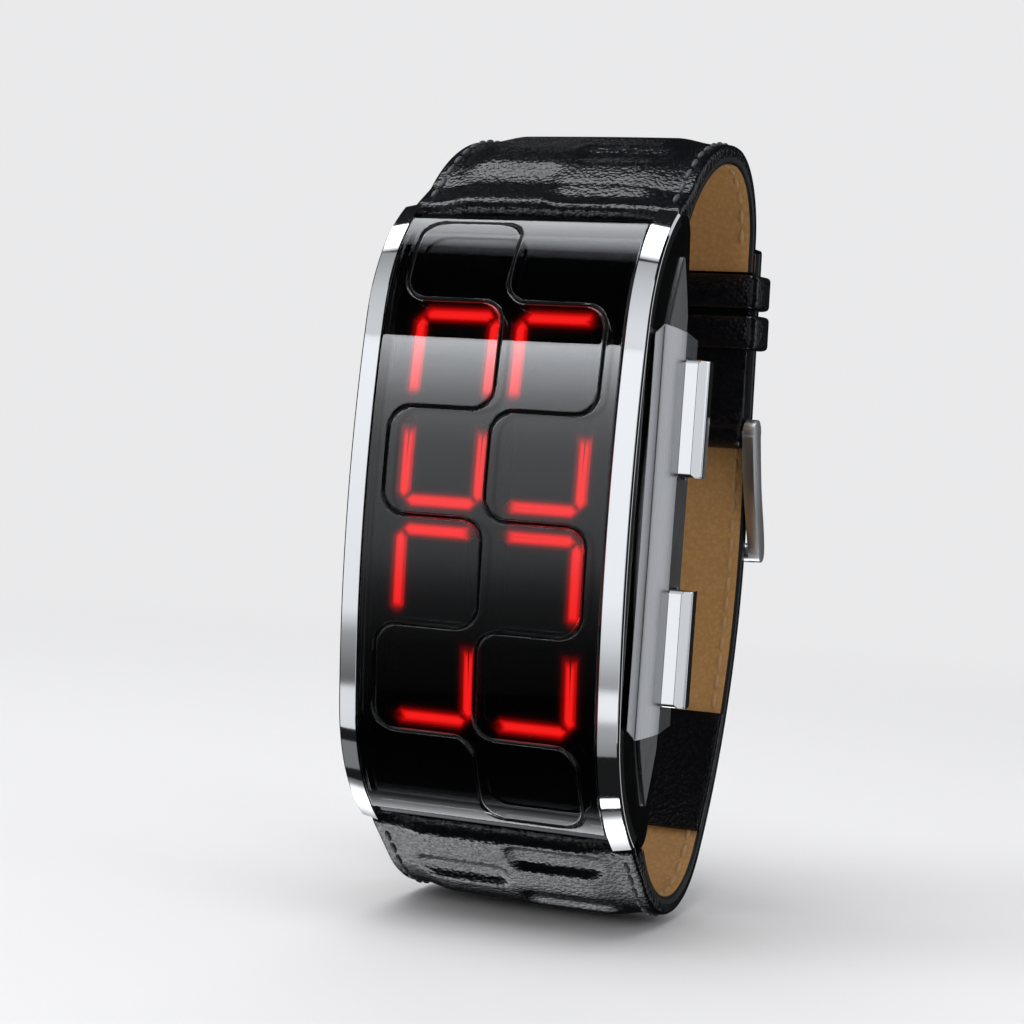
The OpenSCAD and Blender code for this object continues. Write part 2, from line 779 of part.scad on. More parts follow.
// Wrist side of the long half: an arc from the lower spring bar to the lower crest,
// a bend, the long curve up the back, and the straight tail outside the short half
turned_extra = 0.2;
short_t = lining_t + leather_t + turned_extra;
buckle_nose_r = 1.45;
tail_off = short_t / 2 + buckle_nose_r + soft_gap;
down_r = (pow(crest_down - bar_at[0], 2) + pow(loop_down + nose_r - bar_at[1], 2))
    / (2 * (loop_down + nose_r - bar_at[1])) - nose_r;
down_c = [crest_down, -loop_down + down_r];
down_start = 360 + atan2(-bar_at[1] - down_c[1], bar_at[0] - down_c[0]);
bend_c = [crest_down, -loop_down + lower_bend_r];
tail_foot = turn_end + tail_off * out_dir;
bend_from_line = bend_c - (tail_foot - back_r * out_dir);
bend_u = bend_from_line * up_dir;
bend_n = bend_from_line * out_dir;
back_s = bend_u + sqrt(pow(back_r - lower_bend_r, 2) - pow(bend_n, 2));
back_c = tail_foot + back_s * up_dir - back_r * out_dir;
bend_end = atan2(bend_c[1] - back_c[1], bend_c[0] - back_c[0]);

function lower_line(o, from, tail) = concat(
    arc(down_c, down_r + o, from, 270, 12),
    arc(bend_c, lower_bend_r + o, 276, 360 + bend_end, 8),
    arc(back_c, back_r + o, bend_end + 3, lean, 12),
    [tail_foot + tail * up_dir + o * out_dir]
);

// Closed outline between two offsets of one line
function band(line0, line1) = concat(line0, reversed(line1));

// Places a child with its origin on the buckle's bar, local y outwards and z up the strap
buckle_at = turn_end + (short_t / 2) * out_dir - short_len * up_dir;
module at_buckle() {
    translate([0, buckle_at[0] - wrist_y, buckle_at[1]]) rotate([lean, 0, 0]) children();
}

pad_in = 2.5;
pad_w = strap_w - 2 * pad_in;
pad_end = 50;
skin = lining_t + leather_t;
// An arc that comes down from the pad to the plain strap
function faded(c, r, a0, a1, n) = [
    for (i = [0 : n]) c + (r + pad_t * (1 - i / n)) * dir(a0 + (a1 - a0) * i / n)
];
slot_w = 2.6;
nose_side = inner_x - lug_gap - 0.1;

// The case lugs take the corners of the strap's first few millimetres
module lug_room() {
    for (s = [0, 1]) mirror([s, 0, 0]) x_rod(bar_at, lug_r + soft_gap, nose_side, strap_w);
}

// Short half: black leather with a padded middle, rolled round both bars and turned in
// again behind the buckle's bar as far as the fixed keeper
keeper_drop = 3;
keeper_top = short_len - keeper_drop;
turn_in = keeper_top - 0.1;
module upper_strap_leather() {
    color("#15171c") difference() {
        union() {
            across(strap_w) polygon(band(upper_line(lining_t, up_start, short_len),
                upper_line(lining_t + leather_t, up_start, short_len)));
            across(pad_w) polygon(band(
                concat(arc(up_c, up_r + skin - 0.1, up_start, 90, 16),
                    arc(turn_c, turn_r + skin - 0.1, 84, pad_end, 6)),
                concat(arc(up_c, up_r + skin + pad_t, up_start, 90, 16),
                    faded(turn_c, turn_r + skin, 84, pad_end, 6))));
            x_rod(bar_at, nose_r, -nose_side, nose_side);
            at_buckle() {
                translate([-strap_w / 2, 0, 0]) rotate([0, 90, 0])
                    cylinder(r = buckle_nose_r, h = strap_w);
                translate([-strap_w / 2, -short_t / 2, 0]) cube([strap_w, short_t, turn_in]);
            }
        }
        x_rod(bar_at, bar_r + shaft_gap, -strap_w, strap_w);
        lug_room();
        at_buckle() {
            translate([-strap_w, 0, 0]) rotate([0, 90, 0])
                cylinder(r = bar_r + shaft_gap, h = 2 * strap_w);
            translate([-slot_w / 2, -3, -3]) cube([slot_w, 6, 5.2]);
        }
    }
}

module upper_strap_lining() {
    color("#a5835a") difference() {
        across(strap_w) polygon(band(
            upper_line(0, up_start - 9, short_len - turn_in - 0.03),
            upper_line(lining_t - seat_gap / 2, up_start - 9, short_len - turn_in - 0.03)));
        lug_room();
    }
}

// Long half: black leather with a padded middle and a rounded tail with tongue holes
pitch = 7;
module lower_strap_leather() {
    color("#15171c") difference() {
        union() {
            across(strap_w) polygon(band(lower_line(lining_t, down_start, tail_over),
                lower_line(lining_t + leather_t - 0.1, down_start, tail_over)));
            across(pad_w) polygon(band(
                concat(arc(down_c, down_r + skin - 0.2, down_start, 270, 12),
                    arc(bend_c, lower_bend_r + skin - 0.2, 276, 360 - pad_end, 6)),
                concat(arc(down_c, down_r + skin + pad_t, down_start, 270, 12),
                    faded(bend_c, lower_bend_r + skin, 276, 360 - pad_end, 6))));
            mirror([0, 0, 1]) x_rod(bar_at, nose_r, -nose_side, nose_side);
        }
        mirror([0, 0, 1]) x_rod(bar_at, bar_r + shaft_gap, -strap_w, strap_w);
        mirror([0, 0, 1]) lug_room();
        tail_cuts();
    }
}

module lower_strap_lining() {
    color("#a5835a") difference() {
        across(strap_w) polygon(band(lower_line(0, down_start + 12, tail_over),
            lower_line(lining_t - seat_gap / 2, down_start + 12, tail_over)));
        mirror([0, 0, 1]) lug_room();
        tail_cuts();
    }
}

// The tail's rounded tip, the slot for the tongue in use and the spare holes
module tail_cuts() {
    tip = short_len + tail_over;
    round_r = strap_w * 1.6;
    at_buckle() {
        difference() {
            translate([-strap_w, 0, tip - 6]) cube([2 * strap_w, 6, 12]);
            translate([0, -1, tip - round_r]) rotate([-90, 0, 0]) cylinder(r = round_r, h = 8);
        }
        for (z = [-3.1, -0.5]) translate([0, 0.5, z]) rotate([-90, 0, 0]) cylinder(r = slot_w / 2, h = 5);
        translate([-slot_w / 2, 0.5, -3.1]) cube([slot_w, 5, 2.6]);
        for (i = [1, 2]) translate([0, short_t / 2 + 0.3, -1.8 + i * pitch]) rotate([-90, 0, 0])
            cylinder(r = 1, h = 5);
    }
    for (i = [1, 2]) translate([0, back_c[0] - wrist_y, back_c[1]])
        rotate([lean - (i + 0.45) * pitch / back_r * 180 / PI, 0, 0])
            translate([0, back_r - 2, 0]) rotate([-90, 0, 0]) cylinder(r = 1, h = 6);
}

// A black leather facing on the lining of the long half
panel_from = 17.8;
panel_gap = 2.1;
module lower_inner_panel() {
    sheet = 0.5;
    color("#101217") across(strap_w) polygon(band(
        arc(back_c, back_r - 0.05, bend_end + panel_gap, -asin((panel_from + back_c[1]) / back_r), 8),
        arc(back_c, back_r - sheet, bend_end + panel_gap, -asin((panel_from + back_c[1]) / back_r), 8)));
}

// Keepers: leather bands round both layers of the strap
tail_in = tail_off - short_t / 2;
tail_out = tail_in + lining_t + leather_t - 0.1;
free_top = keeper_top - keeper_len - 0.5;
module keeper_band(top, inner_gap) {
    wide = strap_w / 2 + inner_gap;
    at_buckle() translate([0, 0, top - keeper_len]) difference() {
        translate([-wide - keeper_t, -short_t / 2 - inner_gap - keeper_t, 0])
            cube([2 * (wide + keeper_t), tail_out + short_t / 2 + 2 * (inner_gap + keeper_t), keeper_len]);
        translate([-wide, -short_t / 2 - inner_gap, -over])
            cube([2 * wide, tail_out + short_t / 2 + 2 * inner_gap, keeper_len + 2 * over]);
    }
}

module fixed_keeper() {
    color("#15171c") keeper_band(keeper_top, 0.1);
}

module free_keeper() {
    color("#15171c") keeper_band(free_top, 0.15);
}

// Buckle: a steel frame with two arms that turn on the bar's tips, and a bent tongue
arm_x = strap_w / 2 + 0.25;
cross_r = 0.95;
cross_y = tail_out + cross_r + 0.2;
eye_r = 1.5;
module buckle_frame() {
    color("#c4c7ca") at_buckle() difference() {
        union() {
            for (s = [0, 1]) mirror([s, 0, 0]) {
                translate([arm_x, 0, 0]) rotate([0, 90, 0]) cylinder(r = eye_r, h = arm_t);
                translate([arm_x, 0, 0]) rotate([90, 0, 90]) linear_extrude(arm_t) polygon([
                    [-1.2, 0], [-1, -2.5], [0.2, -6], [cross_y - 1.3, -buckle_len - 0.6],
                    [cross_y + 0.95, -buckle_len], [cross_y + 0.4, -buckle_len + 1.8],
                    [2.9, -5.5], [1.5, -1], [1.2, 0]
                ]);
            }
            translate([-arm_x - arm_t, cross_y, -buckle_len]) rotate([0, 90, 0])
                cylinder(r = cross_r, h = 2 * (arm_x + arm_t));
        }
        translate([-arm_x - arm_t + 0.3, 0, 0]) rotate([0, 90, 0])
            cylinder(r = bar_tip_r + shaft_gap, h = 2 * (arm_x + arm_t) - 0.6);
    }
}

module buckle_spring_bar() {
    tip = arm_x + arm_t - 0.4;
    color("#b9bcc0") at_buckle() {
        translate([-strap_w / 2, 0, 0]) rotate([0, 90, 0]) cylinder(r = bar_r, h = strap_w);
        translate([-tip, 0, 0]) rotate([0, 90, 0]) cylinder(r = bar_tip_r, h = 2 * tip);
    }
}

module buckle_tongue() {
    ring_r = 1.35;
    rest_y = cross_y + cross_r + 0.15;
    color("#c4c7ca") at_buckle() difference() {
        union() {
            translate([-tongue_w / 2, 0, 0]) rotate([0, 90, 0]) cylinder(r = ring_r, h = tongue_w);
            translate([-tongue_w / 2, 0, 0]) rotate([90, 0, 90]) linear_extrude(tongue_w) polygon([
                [0, -1.3], [0.9, -2.1], [tail_out + 0.1, -3.4], [rest_y, -buckle_len + 1.2],
                [rest_y, -buckle_len - 1.3], [rest_y + 0.5, -buckle_len - 1.4],
                [rest_y + 1, -buckle_len - 0.8], [rest_y + 1, -buckle_len + 1.4],
                [tail_out + 1.3, -3.8], [tail_out + 0.9, -2.6], [1.2, -0.6]
            ]);
        }
        translate([-tongue_w, 0, 0]) rotate([0, 90, 0])
            cylinder(r = bar_r + shaft_gap, h = 2 * tongue_w);
    }
}

case_body();
left_rail();
right_rail();
left_side_panel();
right_side_panel();
guard_bar();
crystal();
crystal_gasket();
light_mask();
lit_bars();
dark_bars();
led_chips();
circuit_board();
microcontroller();
quartz_oscillator();
board_capacitors();
side_switches();
module_holder();
coin_cells();
battery_contacts();
back_cover();
back_gasket();
back_screws();
upper_button();
lower_button();
upper_button_spring();
lower_button_spring();
upper_button_clip();
lower_button_clip();
button_seals();
upper_spring_bar();
lower_spring_bar();
buckle_spring_bar();
upper_strap_leather();
upper_strap_lining();
lower_strap_leather();
lower_strap_lining();
lower_inner_panel();
fixed_keeper();
free_keeper();
buckle_frame();
buckle_tongue();
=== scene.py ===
import math
import bpy
import bmesh
import numpy as np
from mathutils import Matrix, Vector
from mathutils.kdtree import KDTree


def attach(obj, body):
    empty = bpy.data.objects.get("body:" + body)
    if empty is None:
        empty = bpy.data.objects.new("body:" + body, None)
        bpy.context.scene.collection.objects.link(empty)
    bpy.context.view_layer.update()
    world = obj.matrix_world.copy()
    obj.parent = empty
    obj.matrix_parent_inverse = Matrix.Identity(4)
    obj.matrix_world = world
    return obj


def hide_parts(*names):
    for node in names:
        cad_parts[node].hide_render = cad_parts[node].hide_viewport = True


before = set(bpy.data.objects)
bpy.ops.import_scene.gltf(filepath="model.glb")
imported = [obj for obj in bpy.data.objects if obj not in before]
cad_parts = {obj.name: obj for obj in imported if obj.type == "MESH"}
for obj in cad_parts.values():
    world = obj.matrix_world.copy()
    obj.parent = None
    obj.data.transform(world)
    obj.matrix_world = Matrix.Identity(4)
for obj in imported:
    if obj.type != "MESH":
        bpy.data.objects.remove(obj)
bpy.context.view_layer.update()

# Case body: a steel tray milled from one block and coated black, then polished. Its sides
# carry two recessed panels, and its lugs hold the strap's spring bars.
MM = 0.001
FINE = 1 / MM


def make_effect(name, inputs, outputs):
    group = bpy.data.node_groups.new(name, "ShaderNodeTree")
    for label, kind, value in inputs:
        socket = group.interface.new_socket(name=label, in_out="INPUT", socket_type=kind)
        if value is not None:
            socket.default_value = value
    for label, kind in outputs:
        group.interface.new_socket(name=label, in_out="OUTPUT", socket_type=kind)
    enter = group.nodes.new("NodeGroupInput")
    leave = group.nodes.new("NodeGroupOutput")
    return group, enter, leave


def add_node(tree, kind, inputs=None, **settings):
    """A new node. Its inputs, by name or number, take values or outputs of other nodes."""
    node = tree.nodes.new(kind)
    for label, value in settings.items():
        setattr(node, label, value)
    for label, value in (inputs or {}).items():
        if isinstance(value, bpy.types.NodeSocket):
            tree.links.new(value, node.inputs[label])
        else:
            node.inputs[label].default_value = value
    return node


def feed(source, target, *labels):
    """Links outputs of one node to another's inputs of the same names."""
    for label in labels:
        source.id_data.links.new(source.outputs[label], target.inputs[label])


def object_spot(tree):
    return add_node(tree, "ShaderNodeTexCoord").outputs["Object"]


def math_node(tree, operation, *values):
    inputs = dict(enumerate(values))
    return add_node(tree, "ShaderNodeMath", inputs, operation=operation).outputs[0]


def noise_node(tree, position, scale, detail=2.0, distortion=0.0):
    inputs = {"Vector": position, "Scale": scale, "Detail": detail, "Distortion": distortion}
    return add_node(tree, "ShaderNodeTexNoise", inputs).outputs["Fac"]


def bump_node(tree, height, strength, reach):
    """Normal of a surface whose relief reaches so many millimetres at full strength."""
    inputs = {"Height": height, "Strength": strength, "Distance": reach * MM}
    return add_node(tree, "ShaderNodeBump", inputs).outputs["Normal"]


def vary_roughness(group, enter, leave, pattern, amount):
    """The group's roughness, moved up and down by a pattern between 0 and 1."""
    centred = math_node(group, "SUBTRACT", pattern, 0.5)
    varied = math_node(group, "MULTIPLY_ADD", centred, enter.outputs[amount],
                       enter.outputs["Roughness"])
    group.links.new(varied, leave.inputs["Roughness"])


def polish_marks():
    """Fine random scratches and slightly uneven polish, as values that vary over a surface."""
    group, enter, leave = make_effect(
        "polish_marks",
        [("Position", "NodeSocketVector", None), ("Roughness", "NodeSocketFloat", 0.1),
         ("Unevenness", "NodeSocketFloat", 0.04), ("Scratches", "NodeSocketFloat", 0.1)],
        [("Roughness", "NodeSocketFloat"), ("Normal", "NodeSocketVector")])
    clouds = noise_node(group, enter.outputs["Position"], 0.35 * FINE, 5)
    vary_roughness(group, enter, leave, clouds, "Unevenness")
    hair = noise_node(group, enter.outputs["Position"], 1.6 * FINE, distortion=1.5)
    normal = bump_node(group, hair, enter.outputs["Scratches"], 0.002)
    group.links.new(normal, leave.inputs["Normal"])
    return group


POLISH_MARKS = polish_marks()


def new_material(name, color, metallic, roughness):
    material = bpy.data.materials.new(name)
    material.use_nodes = True
    shader = material.node_tree.nodes["Principled BSDF"]
    shader.inputs["Base Color"].default_value = (*color, 1)
    shader.inputs["Metallic"].default_value = metallic
    shader.inputs["Roughness"].default_value = roughness
    return material, material.node_tree, shader


def add_effect(tree, effect, **values):
    inputs = {"Position": object_spot(tree), **values}
    return add_node(tree, "ShaderNodeGroup", inputs, node_tree=effect)


def polished(name, color, roughness, unevenness, scratches, metallic=1.0):
    material, tree, shader = new_material(name, color, metallic, roughness)
    marks = add_effect(tree, POLISH_MARKS, Roughness=roughness, Unevenness=unevenness,
                       Scratches=scratches)
    feed(marks, shader, "Roughness", "Normal")
    return material


def finish_node(name, material):
    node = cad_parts[name]
    for socket in node.material_slots:
        socket.material = material


BLACK_STEEL = polished("black_steel", (0.012, 0.0125, 0.015), 0.15, 0.08, 0.25)
finish_node("case_body", BLACK_STEEL)

# Rails: two strips of stainless steel bent to the face, with a tilted front and a bright outer
# bevel, ground and mirror polished before they are pressed into the case.
WRIST_DEPTH = 25.0
FACE_R = 115.0
END_R = 15.5
FLAT_HALF = 17.1
CASE_HALF = 30.0
RAIL_T = 1.6
RAIL_SECTION = [(11.03, 0.03), (12.68, 0.39), (12.85, 0.60), (12.85, RAIL_T), (11.03, RAIL_T)]
RAIL_STATION = 0.5
FLAT_ANGLE = FLAT_HALF / FACE_R
END_CENTRE = ((FACE_R - (FACE_R - END_R) * math.cos(FLAT_ANGLE)),
              (FACE_R - END_R) * math.sin(FLAT_ANGLE))


def place(x, depth, z):
    """Millimetres across, behind the face and up, as metres in the part's frame."""
    return Vector((x * MM, (depth - WRIST_DEPTH) * MM, z * MM))


def face_angle(v):
    """Tilt of the face, in radians, at lengths v along it from its middle."""
    v = np.asarray(v, float)
    ends = FLAT_ANGLE + (np.abs(v) - FLAT_HALF) / END_R
    return np.where(np.abs(v) <= FLAT_HALF, v / FACE_R, np.sign(v) * ends)


def face_line(v, depth):
    """Depth and height of the face's points at lengths v along it, below its surface."""
    angle = face_angle(v)
    flat = np.abs(v) <= FLAT_HALF
    radius = np.where(flat, FACE_R, END_R) - depth
    centre = np.where(flat, FACE_R, END_CENTRE[0])
    lift = np.where(flat, 0, np.sign(v) * END_CENTRE[1])
    return centre - radius * np.cos(angle), lift + radius * np.sin(angle)


def add_object(name, data):
    """A new object in the scene."""
    item = bpy.data.objects.new(name, data)
    bpy.context.scene.collection.objects.link(item)
    return item


def mesh_object(name, points, edges, faces):
    mesh = bpy.data.meshes.new(name)
    mesh.from_pydata([tuple(p) for p in points], edges, faces)
    return add_object(name, mesh)


def new_piece(name, points, faces, material, smooth=32):
    """A closed mesh piece from points in metres, with its faces turned outwards."""
    piece = mesh_object(name, points, [], faces)
    shape = bmesh.new()
    shape.from_mesh(piece.data)
    bmesh.ops.remove_doubles(shape, verts=shape.verts, dist=0.0005 * MM)
    bmesh.ops.recalc_face_normals(shape, faces=shape.faces)
    shape.to_mesh(piece.data)
    shape.free()
    piece.data.materials.append(material)
    soften(piece, smooth)
    return piece


def soften(piece, angle):
    piece.data.shade_smooth()
    piece.data.set_sharp_from_angle(angle=math.radians(angle))


def settle(piece, angle=32):
    """Turns the piece and its modifiers into a plain mesh."""
    graph = bpy.context.evaluated_depsgraph_get()
    mesh = bpy.data.meshes.new_from_object(piece.evaluated_get(graph))
    piece.modifiers.clear()
    piece.data = mesh
    soften(piece, angle)


def bevel(piece, width, segments=2, angle=32, crisp=False):
    """Breaks the sharp edges. Crisp pieces keep every facet quite flat up to its edges."""
    edge = piece.modifiers.new("edges", "BEVEL")
    edge.width = width * MM
    edge.segments = segments
    edge.limit_method = "ANGLE"
    edge.angle_limit = math.radians(angle)
    edge.use_clamp_overlap = True
    if not crisp:
        piece.modifiers.new("flats", "WEIGHTED_NORMAL").keep_sharp = True
    settle(piece, 10 if crisp else 46)


def sweep(rings, closed=False):
    """Faces between rings of equally many points, with the two end rings closed."""
    count = len(rings[0])
    points = [p for ring in rings for p in ring]
    faces = []
    for i in range(len(rings) - (0 if closed else 1)):
        j = (i + 1) % len(rings)
        for k in range(count):
            m = (k + 1) % count
            faces.append((i * count + k, i * count + m, j * count + m, j * count + k))
    if not closed:
        faces.append(tuple(range(count)))
        faces.append(tuple(range(len(points) - count, len(points))))
    return points, faces


def assign(piece, body, slot, *nodes):
    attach(piece, body)
    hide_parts(*nodes)


POLISHED_STEEL = polished("polished_steel", (0.86, 0.865, 0.875), 0.06, 0.03, 0.12)
rail_v = np.arange(-CASE_HALF, CASE_HALF + RAIL_STATION / 2, RAIL_STATION)
for side, name in ((-1, "left_rail"), (1, "right_rail")):
    rings = []
    for v in rail_v:
        spots = [(x, *face_line(v, depth)) for x, depth in RAIL_SECTION]
        rings.append([place(side * x, depth, z) for x, depth, z in spots])
    rail = new_piece(name + "_polished", *sweep(rings), POLISHED_STEEL)
    bevel(rail, 0.03, segments=1, angle=25, crisp=True)
    assign(rail, "watch", "polished_steel", name)

# Side panels: lens-shaped plates of brushed steel let into both black sides, with a chamfer
# that catches the light along the front edge.
CASE_DEPTH = 12.475
PANEL_FRONT_R = 46.0
PANEL_FRONT = 3.1
PANEL_REAR_R = 54.0
PANEL_REAR = CASE_DEPTH + 3
PANEL_CUT = CASE_DEPTH - 0.4
PANEL_FOOT = 12.63
PANEL_TOP = 13.1
STEM_DEPTH = 8.4
BUTTON_Z = 9.8
SEAL_R = 1.25


def mix_node(tree, factor, first, second):
    """A colour between two others."""
    inputs = {"Factor": factor, 6: first, 7: second}
    return add_node(tree, "ShaderNodeMix", inputs, data_type="RGBA").outputs[2]


def brush_lines():
    """Long fine grinding lines along the watch, for roughness, tone and normal."""
    group, enter, leave = make_effect(
        "brush_lines",
        [("Position", "NodeSocketVector", None), ("Roughness", "NodeSocketFloat", 0.3),
         ("Spread", "NodeSocketFloat", 0.2), ("Depth", "NodeSocketFloat", 0.3),
         ("Dark", "NodeSocketColor", (0.4, 0.4, 0.4, 1)),
         ("Light", "NodeSocketColor", (0.7, 0.7, 0.7, 1))],
        [("Color", "NodeSocketColor"), ("Roughness", "NodeSocketFloat"),
         ("Normal", "NodeSocketVector")])
    link = group.links.new
    inputs = {"Vector": enter.outputs["Position"], "Scale": (9 * FINE, 9 * FINE, 0.22 * FINE)}
    stretch = add_node(group, "ShaderNodeMapping", inputs)
    lines = noise_node(group, stretch.outputs["Vector"], 1, 3)
    link(mix_node(group, lines, enter.outputs["Dark"], enter.outputs["Light"]),
         leave.inputs["Color"])
    vary_roughness(group, enter, leave, lines, "Spread")
    link(bump_node(group, lines, enter.outputs["Depth"], 0.004), leave.inputs["Normal"])
    return group


BRUSH_LINES = brush_lines()


def brushed(name, dark, light, roughness, spread, depth):
    material, tree, shader = new_material(name, light, 1.0, roughness)
    lines = add_effect(tree, BRUSH_LINES, Roughness=roughness, Spread=spread, Depth=depth,
                       Dark=(*dark, 1), Light=(*light, 1))
    tree.links.new(lines.outputs["Color"], shader.inputs["Base Color"])
    feed(lines, shader, "Roughness", "Normal")
    return material


def cut(piece, tool, settle_angle=32):
    """Takes the tool's volume out of the piece."""
    step = piece.modifiers.new("cut", "BOOLEAN")
    step.operation = "DIFFERENCE"
    step.solver = "EXACT"
    step.object = tool
    settle(piece, settle_angle)
    bpy.data.objects.remove(tool)


def extrude(name, outline, steps, at, material):
    """A closed piece with one outline at several steps. at(step, a, b) gives its points."""
    rings = [[at(step, a, b) for a, b in outline] for step in steps]
    return new_piece(name, *sweep(rings), material)


def round_bar(name, profile, at, material, sides=32):
    """A turned bar from pairs of x and radius. at(x, a, b) places points round its axis."""
    turns = [2 * math.pi * k / sides for k in range(sides)]
    rings = [[at(x, radius * math.cos(t), radius * math.sin(t)) for t in turns]
             for x, radius in profile]
    return new_piece(name, *sweep(rings), material)


def rod(name, spot, radius, x0, x1):
    """A round cutting tool across the watch, at a depth and a height."""
    return round_bar(name, ((x0, radius), (x1, radius)),
                     lambda x, a, b: place(x, spot[0] + a, spot[1] + b), POLISHED_STEEL)


BRUSHED_STEEL = brushed("brushed_steel", (0.42, 0.425, 0.44), (0.64, 0.645, 0.66), 0.30, 0.16, 0.4)


def panel_outline():
    """Front and rear depths of the lens-shaped plate, from its lower to its upper point."""
    heights = np.linspace(-CASE_HALF, CASE_HALF, 241)
    front = PANEL_FRONT + PANEL_FRONT_R - np.sqrt(PANEL_FRONT_R ** 2 - heights ** 2)
    rear = PANEL_REAR - PANEL_REAR_R + np.sqrt(PANEL_REAR_R ** 2 - heights ** 2)
    rear = np.minimum(rear, PANEL_CUT)
    inside = rear - front > 0.02
    ahead = list(zip(front[inside], heights[inside]))
    behind = list(zip(rear[inside], heights[inside]))
    return ahead + behind[::-1]


for side, name in ((-1, "left_side_panel"), (1, "right_side_panel")):
    panel = extrude(name + "_brushed", panel_outline(), (PANEL_FOOT, PANEL_TOP),
                    lambda x, depth, z: place(side * x, depth, z), BRUSHED_STEEL)
    bevel(panel, 0.16, segments=1, angle=50, crisp=True)
    if side > 0:
        for z in (-BUTTON_Z, BUTTON_Z):
            cut(panel, rod("stem_hole", (STEM_DEPTH, z), SEAL_R + 0.15, 12, 14))
    assign(panel, "watch", "brushed_steel", name)

# Guard bar: one bar of brushed steel with three long facets and pointed ends, fixed to the
# right side. Two windows let the push buttons through.
GUARD_HALF = 17.4
GUARD_LEAN = math.radians(4)
GUARD_SLOPE = 1.2
GUARD_RIDGE = (13.8, 3.0)
GUARD_EDGE = (14.6, 7.03)
GUARD_DOME = 0.12
GUARD_REAR = [(14.2, 11.875), (13.12, 11.975)]
BUTTON_FRONT = 7.15
BUTTON_REAR = 10.65
BUTTON_HALF = 5.0
SLIDE_GAP = 0.12


def guard_section():
    """Outline across the bar. Its wide front facet is very slightly domed."""
    middle = []
    for k in range(9):
        t = k / 8
        x = GUARD_RIDGE[0] + (GUARD_EDGE[0] - GUARD_RIDGE[0]) * t
        depth = GUARD_RIDGE[1] + (GUARD_EDGE[1] - GUARD_RIDGE[1]) * t
        middle.append((x + GUARD_DOME * 4 * t * (1 - t), depth))
    return [(13.12, 2.6)] + middle + GUARD_REAR


def standing(z, x, depth):
    return place(x, depth, z)


guard = extrude("guard_bar_brushed", guard_section(), (-GUARD_HALF, GUARD_HALF), standing,
                BRUSHED_STEEL)
shape = bmesh.new()
shape.from_mesh(guard.data)
for end in (-1, 1):
    tip = place(*GUARD_RIDGE, end * GUARD_HALF)
    lean = Vector((0, math.sin(GUARD_LEAN), end * math.cos(GUARD_LEAN)))
    slope = Vector((-GUARD_SLOPE, 0, end))
    for normal in (lean, slope):
        everything = shape.verts[:] + shape.edges[:] + shape.faces[:]
        sliced = bmesh.ops.bisect_plane(shape, geom=everything, plane_co=tip, plane_no=normal,
                                        clear_outer=True, dist=0.0002 * MM)
        rim = [e for e in sliced["geom_cut"] if isinstance(e, bmesh.types.BMEdge)]
        bmesh.ops.holes_fill(shape, edges=rim)
bmesh.ops.recalc_face_normals(shape, faces=shape.faces)
shape.to_mesh(guard.data)
shape.free()
window_front, window_rear = BUTTON_FRONT - SLIDE_GAP, BUTTON_REAR + SLIDE_GAP
window = [(12, window_front), (16, window_front), (16, window_rear), (12, window_rear)]
for z in (-BUTTON_Z, BUTTON_Z):
    ends = (z - BUTTON_HALF - SLIDE_GAP, z + BUTTON_HALF + SLIDE_GAP)
    cut(guard, extrude("window", window, ends, standing, POLISHED_STEEL))
bevel(guard, 0.11, segments=3, angle=20, crisp=True)
assign(guard, "watch", "brushed_steel", "guard_bar")

# Display: a black light mask bonded under the crystal, with moulded diffuser bars in its
# windows. Each bar is lit from behind by its own red chip; its spill on the mask is painted glow.
BAR_W = 0.9
DIGIT_X = 4.6
DIGIT_Z = 9.25
DIGIT_HALF_W = 3.4
DIGIT_HALF_H = 8.0
CORNER_GAP = 0.25
LEVEL_LEN = 2 * (DIGIT_HALF_W - CORNER_GAP)
UPRIGHT_LEN = DIGIT_HALF_H - CORNER_GAP - 1.0
LIT = [0, 1, 2, 3, 4, 5, 6, 7, 10, 11, 12, 13, 16, 17, 18, 20, 22, 23]
DARK = [i for i in range(24) if i not in LIT]
MASK_DEPTH = 2.15
MASK_T = 0.6
MASK_HALF = 26.4
MASK_X = 9.98
WINDOW_GAP = 0.06
WINDOW_DEPTH = 0.35
BAR_T = 0.8
BAR_STEPS = [(0.0, BAR_T), (0.0, 0.10), (0.04, 0.03), (0.14, 0.0), (0.26, 0.0), (0.38, 0.0)]
CORE_IN = 0.28
GLOW_REACH = 0.36
LEVEL_SHORT = 0.45
UPPER_SHORT = 0.35
LOWER_SHORT = 1.15
END_SOFTNESS = 0.6
LIGHT_STRENGTH = 3.8
GLOW_COLORS = [(0, (0, 0, 0)), (0.06, (0.012, 0, 0)), (0.3, (0.17, 0.0005, 0.0005)),
               (0.62, (0.62, 0.003, 0.003)), (0.85, (0.95, 0.009, 0.007)),
               (1, (1.0, 0.014, 0.012))]


def bar_place(i):
    """Middle, direction and length of light bar i, across and along the face."""
    digit, part = divmod(i, 6)
    level = part in (0, 5)
    side = -1 if part % 2 else 1
    row = 1 if part < 3 else -1
    x = (-1 if digit % 2 == 0 else 1) * DIGIT_X + (0 if level else side * DIGIT_HALF_W)
    reach = DIGIT_HALF_H if level else DIGIT_HALF_H - CORNER_GAP - UPRIGHT_LEN / 2
    z = (1 if digit < 2 else -1) * DIGIT_Z + row * reach
    return x, z, level, LEVEL_LEN if level else UPRIGHT_LEN


def free_ends(i):
    """Which ends of lit bar i have no lit neighbour, and how far its light stops short there."""
    digit, part = divmod(i, 6)
    if part in (0, 5):
        pair = (part + 1, part + 2) if part == 0 else (part - 2, part - 1)
        return [(way, LEVEL_SHORT) for way, other in zip((-1, 1), pair)
                if digit * 6 + other not in LIT]
    return [(-1, UPPER_SHORT)] if part < 3 else [(1, LOWER_SHORT)]


